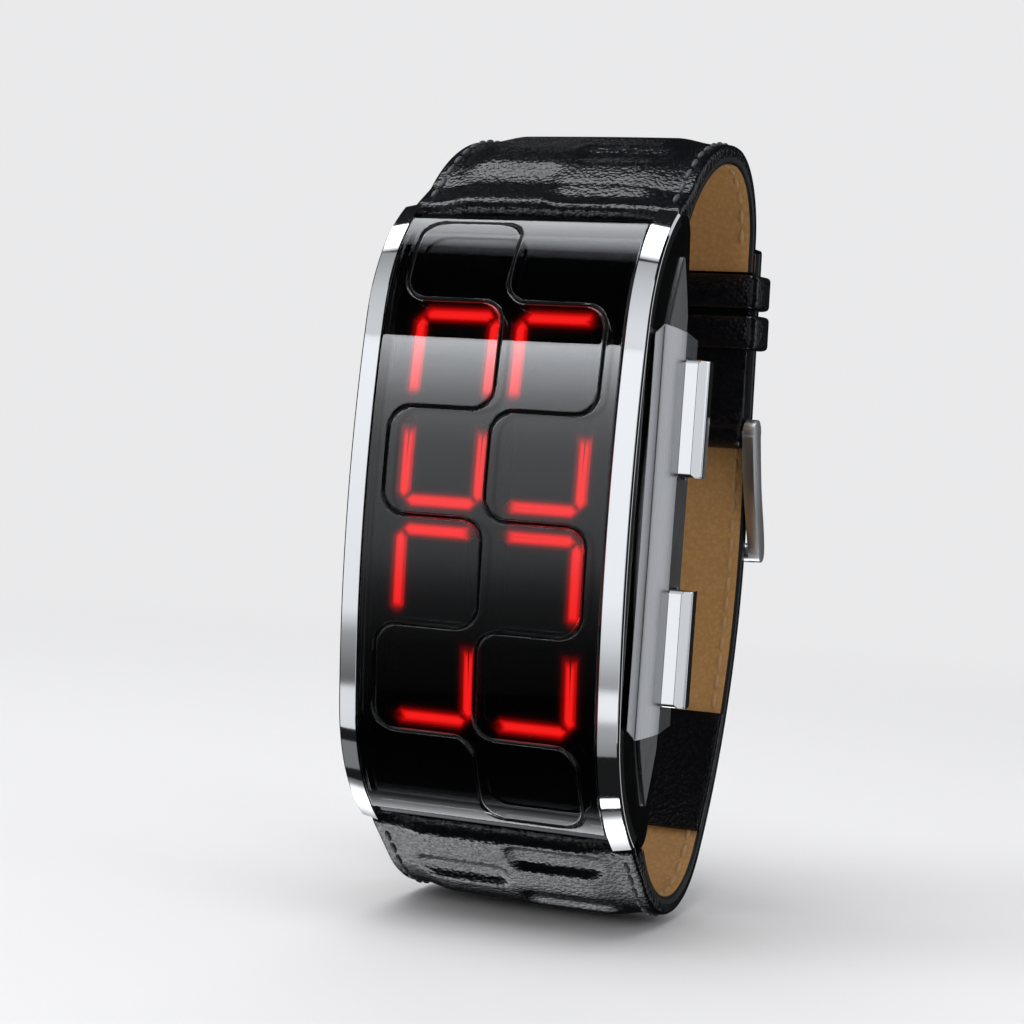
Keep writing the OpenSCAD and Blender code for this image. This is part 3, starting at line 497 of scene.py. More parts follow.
def bar_distance(x, z, which, soft=False):
    """Distance outside the mitred outline of the nearest bar; below zero inside it.

    Soft makes the bars' free ends fade, as their light does."""
    best = np.full(np.shape(x), 99.0)
    for i in which:
        bx, bz, level, length = bar_place(i)
        along, aside = (x - bx, z - bz) if level else (z - bz, x - bx)
        away = np.maximum(np.abs(aside) - BAR_W / 2,
                          (np.abs(along) + np.abs(aside) - length / 2) / math.sqrt(2))
        for way, short in free_ends(i) if soft else []:
            away = np.maximum(away, END_SOFTNESS * (way * along - length / 2 + short))
        best = np.minimum(best, away)
    return best


def slab(us, vs, front, back):
    """A closed plate: a grid in front, strips behind, and walls between."""
    nu, nv = len(us), len(vs)
    points = [front(u, v) for v in vs for u in us]
    points += [back(u, v) for v in (vs[0], vs[-1]) for u in us]
    points += [back(u, v) for v in vs for u in (us[0], us[-1])]
    low, high, edge = nu * nv, nu * nv + nu, nu * nv + 2 * nu
    faces = []
    for j in range(nv - 1):
        for i in range(nu - 1):
            a = j * nu + i
            faces.append((a, a + 1, a + nu + 1, a + nu))
        left, right = j * nu, j * nu + nu - 1
        faces.append((left, left + nu, edge + 2 * j + 2, edge + 2 * j))
        faces.append((right, edge + 2 * j + 1, edge + 2 * j + 3, right + nu))
        lower = [edge + 2 * j, edge + 2 * j + 1]
        upper = [edge + 2 * j + 3, edge + 2 * j + 2]
        if j == 0:
            lower = list(range(low, low + nu))
        if j == nv - 2:
            upper = list(range(high, high + nu))[::-1]
        faces.append(tuple(lower + upper))
    for start, row in ((0, low), ((nv - 1) * nu, high)):
        for i in range(nu - 1):
            faces.append((start + i, row + i, row + i + 1, start + i + 1))
    return points, faces


def put(x, spot):
    """The same place from a pair of depth and height."""
    return place(x, float(spot[0]), float(spot[1]))


def on_face(x, v, depth):
    return put(x, face_line(v, depth))


def face_heights(vs):
    return face_line(np.asarray(vs), 0)[1]


mask_us = np.linspace(-MASK_X, MASK_X, 107)
mask_vs = np.linspace(-MASK_HALF, MASK_HALF, 287)


def mask_front(x, v):
    z = float(face_line(v, MASK_DEPTH)[1])
    inside = bar_distance(x, z, range(24)) < WINDOW_GAP
    return on_face(x, v, MASK_DEPTH + (WINDOW_DEPTH if inside else 0))


points, faces = slab(mask_us, mask_vs, mask_front, lambda x, v: on_face(x, v, MASK_DEPTH + MASK_T))


def ramp_node(tree, factor, stops):
    """The colour at a factor, from pairs of place and colour in their order."""
    ramp = add_node(tree, "ShaderNodeValToRGB", {"Fac": factor})
    elements = ramp.color_ramp.elements
    for element, (spot, color) in zip(elements, (stops[0], stops[-1])):
        element.position = spot
        element.color = (*color, 1)
    for spot, color in stops[1:-1]:
        elements.new(spot).color = (*color, 1)
    return ramp.outputs["Color"]


def lit_surface(name, base, strength):
    """Red light whose strength follows the glow written into the mesh."""
    material, tree, shader = new_material(name, base, 0.0, 0.45)
    shader.inputs["Specular IOR Level"].default_value = 0.1
    glow = add_node(tree, "ShaderNodeAttribute", attribute_name="glow")
    color = ramp_node(tree, glow.outputs["Fac"], GLOW_COLORS)
    tree.links.new(color, shader.inputs["Emission Color"])
    shader.inputs["Emission Strength"].default_value = strength
    grain = noise_node(tree, object_spot(tree), 3 * FINE)
    tree.links.new(bump_node(tree, grain, 0.3, 0.005), shader.inputs["Normal"])
    return material


def write_glow(piece):
    """Brightness from 0 to 1, full along the middle of a lit bar and fading outside it."""
    mesh = piece.data
    spots = np.empty(len(mesh.vertices) * 3)
    mesh.vertices.foreach_get("co", spots)
    spots = spots.reshape(-1, 3) / MM
    distance = bar_distance(spots[:, 0], spots[:, 2], LIT, soft=True)
    glow = np.exp(-(np.maximum(distance + CORE_IN, 0) / GLOW_REACH) ** 1.5)
    layer = mesh.attributes.new("glow", "FLOAT", "POINT")
    layer.data.foreach_set("value", glow.astype(np.float32))


# Painted light: the black mask glows red round the lit bars, a painted pool of their spilled light.
MASK_LIGHT = lit_surface("light_mask_spill", (0.003, 0.003, 0.004), LIGHT_STRENGTH)
BAR_LIGHT = lit_surface("red_light_bars", (0.006, 0.002, 0.002), LIGHT_STRENGTH)
mask = new_piece("light_mask_sheet", points, faces, MASK_LIGHT)
write_glow(mask)
assign(mask, "watch", "black_plastic", "light_mask")


def bar_piece(name, which, material):
    """All bars of a kind, as one piece: each is a mitred block with a softly crowned front."""
    points, faces = [], []
    for i in which:
        bx, bz, level, length = bar_place(i)
        rings = []
        for inset, depth in BAR_STEPS:
            ring = []
            side = BAR_W / 2 - inset
            tip = length / 2 - inset * math.sqrt(2)
            shoulder = tip - side
            outline = [(-tip, 0), (-shoulder, side), (shoulder, side), (tip, 0),
                       (shoulder, -side), (-shoulder, -side)]
            loop = []
            for a, b in zip(outline, outline[1:] + outline[:1]):
                count = 12 if abs(a[0] - b[0]) > 2 else 3
                loop += [(a[0] + (b[0] - a[0]) * k / count, a[1] + (b[1] - a[1]) * k / count)
                         for k in range(count)]
            for along, aside in loop:
                x, z = (bx + along, bz + aside) if level else (bx + aside, bz + along)
                deep, height = face_line(z, MASK_DEPTH + 0.05 + depth)
                ring.append(place(x, float(deep), z + float(height - face_heights(z))))
            rings.append(ring)
        more, new_faces = sweep(rings)
        faces += [tuple(k + len(points) for k in face) for face in new_faces]
        points += more
    return new_piece(name, points, faces, material)


lit_bars = bar_piece("lit_bars_red", LIT, BAR_LIGHT)
write_glow(lit_bars)
assign(lit_bars, "watch", "red_light", "lit_bars")
UNLIT = lit_surface("unlit_diffuser", (0.006, 0.002, 0.002), 0.0)
dark_bars = bar_piece("dark_bars_unlit", DARK, UNLIT)
assign(dark_bars, "watch", "unlit_diffuser", "dark_bars")

# Crystal: a thick smoked glass, curved in one direction, with the outline of a chain of
# rounded tiles engraved as one fine groove. A soft black gasket lies under its rim.
CRYSTAL_X = 10.95
CRYSTAL_HALF = 27.6
CRYSTAL_T = 1.8
TILE = 9.3
TILE_R = 2.0
GROOVE_W = 0.34
GROOVE_D = 0.22
GROOVE_END = CRYSTAL_HALF - 0.7
RIM_R = 0.14
GLASS_TINT = (0.26, 0.27, 0.29)
# How far past the groove's half width its painted shade reaches, and how softly it fades out.
GROOVE_SHADE_REACH = 1.2
GROOVE_SHADE_FADE = 0.4


def groove_line():
    """The engraved line, across and along the face, with every corner rounded."""
    rows = [GROOVE_END] + [(3 - i) * TILE for i in range(1, 6)] + [-GROOVE_END]
    down = [(-TILE if i % 2 == 0 else 0, rows[i + k]) for i in range(6) for k in (0, 1)]
    up = [(0 if i % 2 == 0 else TILE, rows[i + k]) for i in range(5, -1, -1) for k in (1, 0)]
    corners = [Vector(c) for c in down + up]
    line = []
    for i, corner in enumerate(corners):
        before = (corner - corners[i - 1]).normalized()
        after = (corners[(i + 1) % len(corners)] - corner).normalized()
        centre = corner + TILE_R * (after - before)
        for k in range(13):
            turn = math.pi / 2 * k / 12
            line.append(centre + TILE_R * (before * math.sin(turn) - after * math.cos(turn)))
    return line


def filled(line, step):
    spots = []
    for a, b in zip(line, line[1:] + line[:1]):
        count = max(1, int((b - a).length / step))
        spots += [a.lerp(b, k / count) for k in range(count)]
    return spots


def spacing(low, high, lines, fine=0.08, near=0.3, middle=0.13, far=1.9, coarse=0.5):
    """Stations from low to high, close together by the lines and further apart elsewhere."""
    spots = [low]
    while spots[-1] < high:
        gap = min(abs(spots[-1] + fine / 2 - line) for line in lines)
        edge = min(spots[-1] - low, high - spots[-1])
        if gap < near or edge < 0.4:
            step = fine
        elif gap < far:
            step = middle
        else:
            step = coarse
        spots.append(min(spots[-1] + step, high))
    if spots[-1] - spots[-2] < fine / 3:
        spots.pop(-2)
    return spots


groove_spots = filled(groove_line(), 0.05)
groove_tree = KDTree(len(groove_spots))
for number, spot in enumerate(groove_spots):
    groove_tree.insert((spot.x, spot.y, 0), number)
groove_tree.balance()
rows = [GROOVE_END, -GROOVE_END] + [k * TILE for k in (-2, -1, 0, 1, 2)]
crystal_us = spacing(-CRYSTAL_X, CRYSTAL_X, (-TILE, 0, TILE))
crystal_vs = spacing(-CRYSTAL_HALF, CRYSTAL_HALF, rows)


def eased(t):
    t = min(max(t, 0.0), 1.0)
    return t * t * (3 - 2 * t)


def groove_depth(x, v):
    distance = groove_tree.find((x, v, 0))[2] / (GROOVE_W / 2)
    if distance >= 1:
        return 0.0
    return GROOVE_D * math.cos(math.pi / 2 * distance) ** 1.5


def crystal_front(x, v):
    edge = min(CRYSTAL_X - abs(x), CRYSTAL_HALF - abs(v))
    rim = max(0.0, RIM_R - edge)
    drop = RIM_R - math.sqrt(max(0.0, RIM_R ** 2 - rim ** 2))
    return on_face(x, v, groove_depth(x, v) + drop)


def smoked_glass():
    """Dark tinted glass. The groove is coloured black by the mesh's own attribute, as painted shade
    for the engraved line.
    """
    material = polished("smoked_glass", GLASS_TINT, 0.012, 0.01, 0.004, metallic=0.0)
    tree = material.node_tree
    shader = tree.nodes["Principled BSDF"]
    shader.inputs["Transmission Weight"].default_value = 1.0
    shader.inputs["IOR"].default_value = 1.52
    # Painted shade: where the groove attribute is high, the glass turns black and rougher along the
    # engraved line.
    groove_shade = add_node(tree, "ShaderNodeAttribute", attribute_name="groove").outputs["Fac"]
    tint = mix_node(tree, groove_shade, (*GLASS_TINT, 1), (0, 0, 0, 1))
    tree.links.new(tint, shader.inputs["Base Color"])
    marks = shader.inputs["Roughness"].links[0].from_socket
    rough = math_node(tree, "MULTIPLY_ADD", groove_shade, 0.3, marks)
    tree.links.new(rough, shader.inputs["Roughness"])
    return material


SMOKED_GLASS = smoked_glass()
points, faces = slab(crystal_us, crystal_vs, crystal_front,
                     lambda x, v: on_face(x, v, CRYSTAL_T - 0.01))
crystal = new_piece("crystal_glass", points, faces, SMOKED_GLASS, smooth=50)
# Painted shade: the front third of the glass is marked black along the groove and just beyond its
# edges.
groove_shade_layer = crystal.data.attributes.new("groove", "FLOAT", "POINT")
for number, vertex in enumerate(crystal.data.vertices):
    x, deep, z = vertex.co.x / MM, vertex.co.y / MM + WRIST_DEPTH, vertex.co.z / MM
    v = float(np.interp(z, face_heights(crystal_vs), crystal_vs))
    if deep < float(face_line(v, 0)[0]) + CRYSTAL_T / 3:
        gap = groove_tree.find((x, v, 0))[2] / (GROOVE_W / 2)
        groove_shade_layer.data[number].value = eased((GROOVE_SHADE_REACH - gap) / GROOVE_SHADE_FADE)
assign(crystal, "watch", "dark_glass", "crystal")


def dusted(name, color, roughness, grain_mm, depth_mm):
    """A matt moulded or rubber surface with a fine even grain."""
    material, tree, shader = new_material(name, color, 0.0, roughness)
    grain = noise_node(tree, object_spot(tree), FINE / grain_mm, 4)
    dark, light = [[c * share for c in color] for share in (0.75, 1.25)]
    tree.links.new(ramp_node(tree, grain, [(0, dark), (1, light)]), shader.inputs["Base Color"])
    tree.links.new(bump_node(tree, grain, 0.5, depth_mm), shader.inputs["Normal"])
    return material


SEAL_RUBBER = dusted("seal_rubber", (0.02, 0.02, 0.021), 0.6, 0.4, 0.02)
for name in ("crystal_gasket", "back_gasket", "button_seals"):
    finish_node(name, SEAL_RUBBER)

# Module: a green board with the chips for the bars, a controller, a quartz can and capacitors,
# with two coin cells in a moulded holder behind it. None of it shows when the watch is closed.
finish_node("circuit_board", dusted("board", (0.01, 0.12, 0.05), 0.4, 0.8, 0.01))
finish_node("led_chips", dusted("chip_ceramic", (0.75, 0.68, 0.5), 0.5, 0.3, 0.01))
BLACK_PLASTIC = dusted("black_plastic", (0.014, 0.014, 0.016), 0.5, 0.35, 0.015)
for name in ("microcontroller", "side_switches", "module_holder"):
    finish_node(name, BLACK_PLASTIC)
finish_node("board_capacitors", dusted("capacitor_ceramic", (0.45, 0.28, 0.14), 0.5, 0.3, 0.01))
for name in ("quartz_oscillator", "coin_cells"):
    finish_node(name, BRUSHED_STEEL)
finish_node("battery_contacts", polished("gold_contact", (0.80, 0.58, 0.24), 0.2, 0.08, 0.3))

# Push buttons: two polished steel bars on waterproof stems. The front of each slopes a little
# outwards, with a wide chamfer and a fine bright lip along its outer edge.
BUTTON_FOOT = 13.85
BUTTON_TOP = 16.6
BUTTON_SLANT = 0.5
FACE_SLOPE = 0.18
CHAMFER_W = 0.8
CHAMFER_DEPTH = 0.42
END_CHAMFER_W = 0.3
END_CHAMFER_DEPTH = 0.16
LIP_W = 0.16
LIP_R = 0.1
STEM_PROFILE = [(8.0, 0.70), (9.28, 0.70), (9.38, 0.5), (9.78, 0.5), (9.86, 0.70), (14.0, 0.70)]


def button_relief(x, z):
    """Depth of the button's front below its foremost point."""
    outer = (BUTTON_TOP - LIP_W) - x
    end = BUTTON_HALF - abs(z)
    sunk = max(CHAMFER_DEPTH * min(1.0, max(0.0, 1 - outer / CHAMFER_W)),
               END_CHAMFER_DEPTH * min(1.0, max(0.0, 1 - end / END_CHAMFER_W)))
    lip = eased(-outer / 0.05)
    edge = min(BUTTON_TOP - x, end)
    rim = max(0.0, LIP_R - edge)
    rounded = LIP_R - math.sqrt(max(0.0, LIP_R ** 2 - rim ** 2))
    return FACE_SLOPE * (x - BUTTON_FOOT) + sunk * (1 - 0.6 * lip) + rounded


button_us = sorted(set([BUTTON_FOOT] + list(np.linspace(14.0, 15.3, 8)) +
                       list(np.linspace(15.34, BUTTON_TOP, 27))))
button_vs = list(np.linspace(-5, -4.2, 14)) + list(np.linspace(-4.1, 4.1, 24)) + \
    list(np.linspace(4.2, 5, 14))
for name, middle in (("upper_button", BUTTON_Z), ("lower_button", -BUTTON_Z)):
    def button_back(x, z):
        inward = BUTTON_SLANT * (x - BUTTON_FOOT) / (BUTTON_TOP - BUTTON_FOOT)
        return place(x - inward, BUTTON_REAR, middle + z)

    points, faces = slab(button_us, button_vs,
                         lambda x, z: place(x, BUTTON_FRONT + button_relief(x, z), middle + z),
                         button_back)
    bar = new_piece(name + "_bar", points, faces, POLISHED_STEEL, smooth=28)
    stem = round_bar(name + "_stem", STEM_PROFILE,
                     lambda x, a, b: place(x, STEM_DEPTH + a, middle + b), POLISHED_STEEL, 24)
    assign(bar, name, "polished_steel", name)
    assign(stem, name, "polished_steel", name)
SPRING_STEEL = polished("spring_steel", (0.6, 0.61, 0.63), 0.22, 0.06, 0.2)
for name in ("upper_button_spring", "lower_button_spring", "upper_button_clip",
             "lower_button_clip", "upper_spring_bar", "lower_spring_bar", "buckle_spring_bar"):
    finish_node(name, SPRING_STEEL)

# Back cover: a flat plate stamped from stainless steel and brushed lengthwise. Four small
# slotted screws hold it in the case, with a rubber gasket under it.
finish_node("back_cover", brushed("back_cover_steel", (0.38, 0.385, 0.4), (0.6, 0.6, 0.62),
                                  0.32, 0.18, 0.5))
finish_node("back_screws", SPRING_STEEL)

# Strap: two lengths of black calf leather, rolled round the spring bars, padded next to the
# case and pressed with staggered rounded fields, on a lining of natural tan leather.
SOFT_ANGLE = 50
LINING_T = 0.7
LEATHER_T = 1.1
PAD_T = 0.6
SKIN = LINING_T + LEATHER_T
STRAP_HALF = 12.5
PAD_HALF = 10.0
PAD_FOOT = PAD_HALF + 0.9
PAD_SLOPE = 3.6
PAD_CROWN = 0.12
NOSE_SIDE = 10.65
NOSE_R = 1.5
BAR_R = 0.8
LUG_REACH = 2.06
WIDENING = 0.35
LOOP_UP = 34.4
LOOP_DOWN = 33.5
LOOP_DEPTH = 34.2
CREST_UP = 27.5
CREST_DOWN = 23.0
LOWER_BEND_R = 8.4
BACK_R = 46.8
LEAN = math.radians(3.5)
SHORT_LEN = 18.5
TAIL_OVER = 1.5
KEEPER_TOP = SHORT_LEN - 3.0
TURN_IN = KEEPER_TOP - 0.1
SHORT_T = 2.0
BUCKLE_NOSE_R = 1.45
SOFT_GAP = 0.25
NOSE_EDGE_R = 0.25
OUTER_EDGE_R = 0.45
TURNED_EDGE_R = 0.4
LINING_EDGE_R = 0.3
PAINTED_W = 0.2
FIELD_MIDDLE = 4.75
FIELD_HALF = 4.35
FIELD_CORNER_X = 1.1
FIELD_CORNER_S = 0.9
FIELD_R = 1.0
EDGE_COLUMN = 10.2
TOOL_HALF = 14
SLOT_HALF = 1.3
SLOT_TOP = 2.2
SPARE_R = 1.0
HOLE_PITCH = 7.0
HOLE_DROP = 1.8
TAIL_R = 40.0
BAR_AT = np.array([float(n) for n in face_line(CASE_HALF + 0.7, 2.8)])
LEATHER_TIP = np.array([8.75, 27.25])
START_ROUND = 1.5
PADDED_FROM = 2.65
PADDED_STEP = 0.24
PLAIN_STEP = 0.8
END_MARGIN = 1.3
ROLL_STEPS = 19
INNER_FROM = 1.2
OUTWARDS = np.array([math.cos(LEAN), math.sin(LEAN)])
UPWARDS = np.array([-math.sin(LEAN), math.cos(LEAN)])


def first_arc(crest, reach):
    """Radius and centre of the arc from a spring bar to the strap's crest."""
    rise = reach + NOSE_R - BAR_AT[1]
    radius = ((crest - BAR_AT[0]) ** 2 + rise ** 2) / (2 * rise) - NOSE_R
    return radius, np.array([crest, reach - radius])


class StrapLine:
    """The wrist side of a strap half, from its spring bar on: arcs, then a straight end.

    Its side is 1 for the half at 12 o'clock and -1 for the other. The leather's outer side
    lies at the distance outer from the line, but runs straight at first, from the case's end."""

    def __init__(self, arcs, straight, side, outer, run):
        self.arcs = arcs
        self.lengths = [abs(a1 - a0) * radius for centre, radius, a0, a1 in arcs]
        self.bend = sum(self.lengths)
        self.total = self.bend + straight
        self.side = side
        self.outer = outer
        self.run = run
        foot, out = self.at(run)
        self.tip = LEATHER_TIP * (1, side)
        self.along = foot + outer * out - self.tip
        self.away = side * np.array([-self.along[1], self.along[0]]) / np.linalg.norm(self.along)

    def shorter(self, straight):
        """The same line with another length of its straight end."""
        return StrapLine(self.arcs, straight, self.side, self.outer, self.run)

    def over(self, s, height):
        """Point at a height over the leather's plain outer side."""
        if s < self.run:
            return self.tip + self.along * s / self.run + height * self.away
        spot, out = self.at(s)
        return spot + (self.outer + height) * out

    def at(self, s):
        """Point and outward direction at a distance s from the spring bar."""
        for (centre, radius, a0, a1), length in zip(self.arcs, self.lengths):
            if s <= length:
                turn = a0 + (a1 - a0) * s / length
                out = np.array([math.cos(turn), math.sin(turn)])
                return centre + radius * out, out
            s -= length
        centre, radius, a0, a1 = self.arcs[-1]
        out = np.array([math.cos(a1), math.sin(a1)])
        way = math.copysign(1, a1 - a0) * np.array([-out[1], out[0]])
        return centre + radius * out + way * s, out


up_r, up_c = first_arc(CREST_UP, LOOP_UP)
turn_r = (LOOP_DEPTH - CREST_UP) / math.cos(LEAN)
turn_c = np.array([CREST_UP, LOOP_UP - turn_r])
up_start = math.atan2(BAR_AT[1] - up_c[1], BAR_AT[0] - up_c[0])
UPPER = StrapLine([(up_c, up_r, up_start, math.pi / 2), (turn_c, turn_r, math.pi / 2, LEAN)],
                  SHORT_LEN, 1, SKIN, 4.5)
turn_end = turn_c + turn_r * OUTWARDS
down_r, down_c = first_arc(CREST_DOWN, LOOP_DOWN)
down_c = np.array([CREST_DOWN, -LOOP_DOWN + down_r])
down_start = 2 * math.pi + math.atan2(-BAR_AT[1] - down_c[1], BAR_AT[0] - down_c[0])
bend_c = np.array([CREST_DOWN, -LOOP_DOWN + LOWER_BEND_R])
TAIL_OFF = SHORT_T / 2 + BUCKLE_NOSE_R + SOFT_GAP
tail_foot = turn_end + TAIL_OFF * OUTWARDS
from_line = bend_c - (tail_foot - BACK_R * OUTWARDS)
back_s = from_line @ UPWARDS + math.sqrt((BACK_R - LOWER_BEND_R) ** 2 - (from_line @ OUTWARDS) ** 2)
back_c = tail_foot + back_s * UPWARDS - BACK_R * OUTWARDS
BEND_END = math.atan2(bend_c[1] - back_c[1], bend_c[0] - back_c[0])
LOWER = StrapLine([(down_c, down_r, down_start, 1.5 * math.pi),
                   (bend_c, LOWER_BEND_R, 1.5 * math.pi, 2 * math.pi + BEND_END),
                   (back_c, BACK_R, BEND_END, LEAN)], -back_s + TAIL_OVER, -1, SKIN - 0.1, 7.0)
BUCKLE_AT = turn_end + SHORT_T / 2 * OUTWARDS - SHORT_LEN * UPWARDS


def at_buckle(x, out, up):
    """A point counted from the buckle's bar: across, outwards and up the strap."""
    return put(x, BUCKLE_AT + out * OUTWARDS + up * UPWARDS)


# Each half's fields: softness of the edge, depth, and each field's side, start and end.
UPPER_FIELDS = (2.2, 0.34, [(1, 1.1, 3.3), (-1, 4.5, 6.8), (1, 8.5, 10.8), (-1, 12.3, 14.6)])
LOWER_FIELDS = (1.3, 0.45, [(1, 1.9, 4.4), (-1, 5.3, 7.5), (1, 8.7, 10.8), (-1, 12.2, 14.4)])


def pressed(x, s, fields):
    """How deep the pressed fields are at a point of the padding."""
    edge, sink_to, spots = fields
    sink = 0.0
    for side, s0, s1 in spots:
        dx = abs(x - side * FIELD_MIDDLE) - (FIELD_HALF - FIELD_CORNER_X)
        ds = abs(s - (s0 + s1) / 2) - ((s1 - s0) / 2 - FIELD_CORNER_S)
        away = math.hypot(max(dx, 0), max(ds, 0)) - FIELD_R
        sink = max(sink, eased(0.5 - away / edge))
    return sink_to * sink


def padding(x, s, fade0, fade1, fields):
    """Height of the padding over the plain strap."""
    across = eased((PAD_FOOT - abs(x)) / PAD_SLOPE)
    ahead = 1 - eased((s - fade0) / (fade1 - fade0))
    crown = 1 - PAD_CROWN * (x / PAD_HALF) ** 2
    return max(0.0, PAD_T * crown * across * ahead - pressed(x, s, fields) * across * ahead)


def edge_round(x, half, radius):
    near = max(0.0, radius - (half - abs(x)))
    return radius - math.sqrt(max(0.0, radius ** 2 - near ** 2))


def strap_width(s):
    """The strap's inner side is narrower between the lugs."""
    return NOSE_SIDE + (STRAP_HALF - NOSE_SIDE) * eased((s - LUG_REACH) / WIDENING)


def column_x(u, half):
    if abs(u) <= EDGE_COLUMN:
        return u
    share = (half - EDGE_COLUMN) / (STRAP_HALF - EDGE_COLUMN)
    return math.copysign(EDGE_COLUMN + (abs(u) - EDGE_COLUMN) * share, u)


def strip_columns(insets, inner, count):
    """Places across a strip of the strap's width, close together at its rounded edges."""
    edge = [STRAP_HALF - inset for inset in insets]
    return [-u for u in edge] + list(np.linspace(-inner, inner, count)) + edge[::-1]


columns = strip_columns((0, 0.03, 0.12, 0.28, 0.5, 0.8, 1.2, 1.6, 2.0, 2.3), 9.95, 81)[::-1]
near_case = [0.02, 0.08, 0.18, 0.32] + list(np.arange(0.5, LUG_REACH, 0.25)) + \
    [LUG_REACH + WIDENING * k / 4 for k in range(5)]


def leather_piece(name, line, lower_end, fade, fields, material):
    """Closed leather of one strap half: rolled end, outer side, far end and lined side.

    lower_end(x) gives the points of the far end, from the outer to the inner side."""
    stations = near_case + list(np.arange(PADDED_FROM, fade[1], PADDED_STEP)) + \
        list(np.arange(fade[1], line.total - END_MARGIN, PLAIN_STEP))
    bar_point = BAR_AT * (1, line.side)
    toward = line.at(0)[1]
    forward = line.at(0.1)[0] - line.at(0)[0]
    forward = forward / np.linalg.norm(forward)
    start = math.acos((LINING_T - NOSE_R) / NOSE_R)
    rings = []
    for u in columns:
        ring = []
        x = column_x(u, NOSE_SIDE)
        radius = NOSE_R - edge_round(x, NOSE_SIDE, NOSE_EDGE_R) * 0.5
        for k in range(ROLL_STEPS):
            turn = -start - (2 * math.pi - start) * k / ROLL_STEPS
            ring.append(put(x, bar_point + radius * (math.cos(turn) * toward
                                                     - math.sin(turn) * forward)))
        inner = []
        for s in stations:
            x = column_x(u, STRAP_HALF)
            high = padding(x, s, *fade, fields) - edge_round(x, STRAP_HALF, OUTER_EDGE_R)
            high -= edge_round(START_ROUND - min(s, START_ROUND), START_ROUND, START_ROUND)
            ring.append(put(x, line.over(s, high)))
            if s > INNER_FROM:
                spot, out = line.at(s)
                inner.append(put(column_x(u, strap_width(s)), spot + LINING_T * out))
        ring += lower_end(column_x(u, STRAP_HALF))
        ring += inner[::-1]
        rings.append(ring)
    count = len(rings[0])
    points, faces = sweep(rings)
    faces = faces[:-2]
    skipped = len([s for s in stations if s <= INNER_FROM])
    first_outer = ROLL_STEPS + skipped
    outer_side = list(range(first_outer, ROLL_STEPS + len(stations)))
    inner_side = list(range(count - 1, count - 1 - len(outer_side), -1))
    for ring_start in (0, (len(rings) - 1) * count):
        nose = list(range(0, first_outer + 1)) + [inner_side[0]]
        faces.append(tuple(ring_start + k for k in nose))
        for a in range(len(outer_side) - 1):
            faces.append(tuple(ring_start + k for k in (outer_side[a], outer_side[a + 1],
                                                        inner_side[a + 1], inner_side[a])))
        far = list(range(outer_side[-1], inner_side[-1] + 1))
        faces.append(tuple(ring_start + k for k in far))
    return new_piece(name, points, faces, material, smooth=SOFT_ANGLE)


def leather_grain():
    """Fine pebbled grain with soft creases, for the tone, roughness and normal of leather."""
    group, enter, leave = make_effect(
        "leather_grain",
        [("Position", "NodeSocketVector", None), ("Pebble", "NodeSocketFloat", 2.2 * FINE),
         ("Roughness", "NodeSocketFloat", 0.4), ("Spread", "NodeSocketFloat", 0.2),
         ("Depth", "NodeSocketFloat", 0.5)],
        [("Mask", "NodeSocketFloat"), ("Roughness", "NodeSocketFloat"),
         ("Normal", "NodeSocketVector")])
    link = group.links.new
    warp = noise_node(group, enter.outputs["Position"], 1.1 * FINE, 3)
    inputs = {"Vector": enter.outputs["Position"], "Scale": enter.outputs["Pebble"],
              "Smoothness": 0.35}
    pebbles = add_node(group, "ShaderNodeTexVoronoi", inputs, feature="SMOOTH_F1")
    pores = noise_node(group, enter.outputs["Position"], 6 * FINE, 4)
    creases = math_node(group, "MULTIPLY", pebbles.outputs["Distance"], -0.7)
    height = math_node(group, "MULTIPLY_ADD", warp, 0.8, creases)
    link(bump_node(group, height, enter.outputs["Depth"], 0.08), leave.inputs["Normal"])
    vary_roughness(group, enter, leave, warp, "Spread")
    link(math_node(group, "ADD", creases, pores), leave.inputs["Mask"])
    return group


LEATHER_GRAIN = leather_grain()


def leather(name, dark, light, roughness, spread, depth, pebble, shine):
    material, tree, shader = new_material(name, light, 0.0, roughness)
    shader.inputs["Specular IOR Level"].default_value = shine
    grain = add_effect(tree, LEATHER_GRAIN, Roughness=roughness, Spread=spread, Depth=depth,
                       Pebble=pebble * FINE)
    tone = ramp_node(tree, grain.outputs["Mask"], [(0, dark), (0.6, light)])
    tree.links.new(tone, shader.inputs["Base Color"])
    feed(grain, shader, "Roughness", "Normal")
    return material


BLACK_LEATHER = leather("black_leather", (0.0025, 0.0028, 0.0038), (0.0055, 0.006, 0.0085),
                        0.21, 0.1, 0.8, 2.8, 0.3)
EDGE_PAINT = leather("edge_paint", (0.006, 0.0065, 0.008), (0.009, 0.0095, 0.012),
                     0.45, 0.10, 0.3, 2.0, 0.3)
TAN_LEATHER = leather("tan_leather", (0.38, 0.20, 0.065), (0.47, 0.265, 0.10),
                      0.62, 0.15, 0.5, 2.2, 0.25)


def turned_end(x):
    """Far end of the short half, turned round the buckle's bar and glued up the inside."""
    spots = []
    heights = (TURN_IN, TURN_IN - 0.5, TURN_IN - 4, 8.0, 3.5)
    for up in heights:
        inset = 0.2 if up > TURN_IN - 0.2 else edge_round(x, STRAP_HALF, TURNED_EDGE_R)
        spots.append(at_buckle(x, SHORT_T / 2 - inset, up))
    start = math.acos(SHORT_T / 2 / BUCKLE_NOSE_R)
    radius = BUCKLE_NOSE_R - edge_round(x, STRAP_HALF, TURNED_EDGE_R) * 0.6
    for k in range(17):
        turn = start - (math.pi + 2 * start) * k / 16
        spots.append(at_buckle(x, radius * math.cos(turn), radius * math.sin(turn)))
    for up in heights[::-1]:
        spots.append(at_buckle(x, (0.12 if up > TURN_IN - 0.2 else 0) - SHORT_T / 2, up))
    spots.append(at_buckle(x, LINING_T - SHORT_T / 2, TURN_IN + 0.02))
    return spots


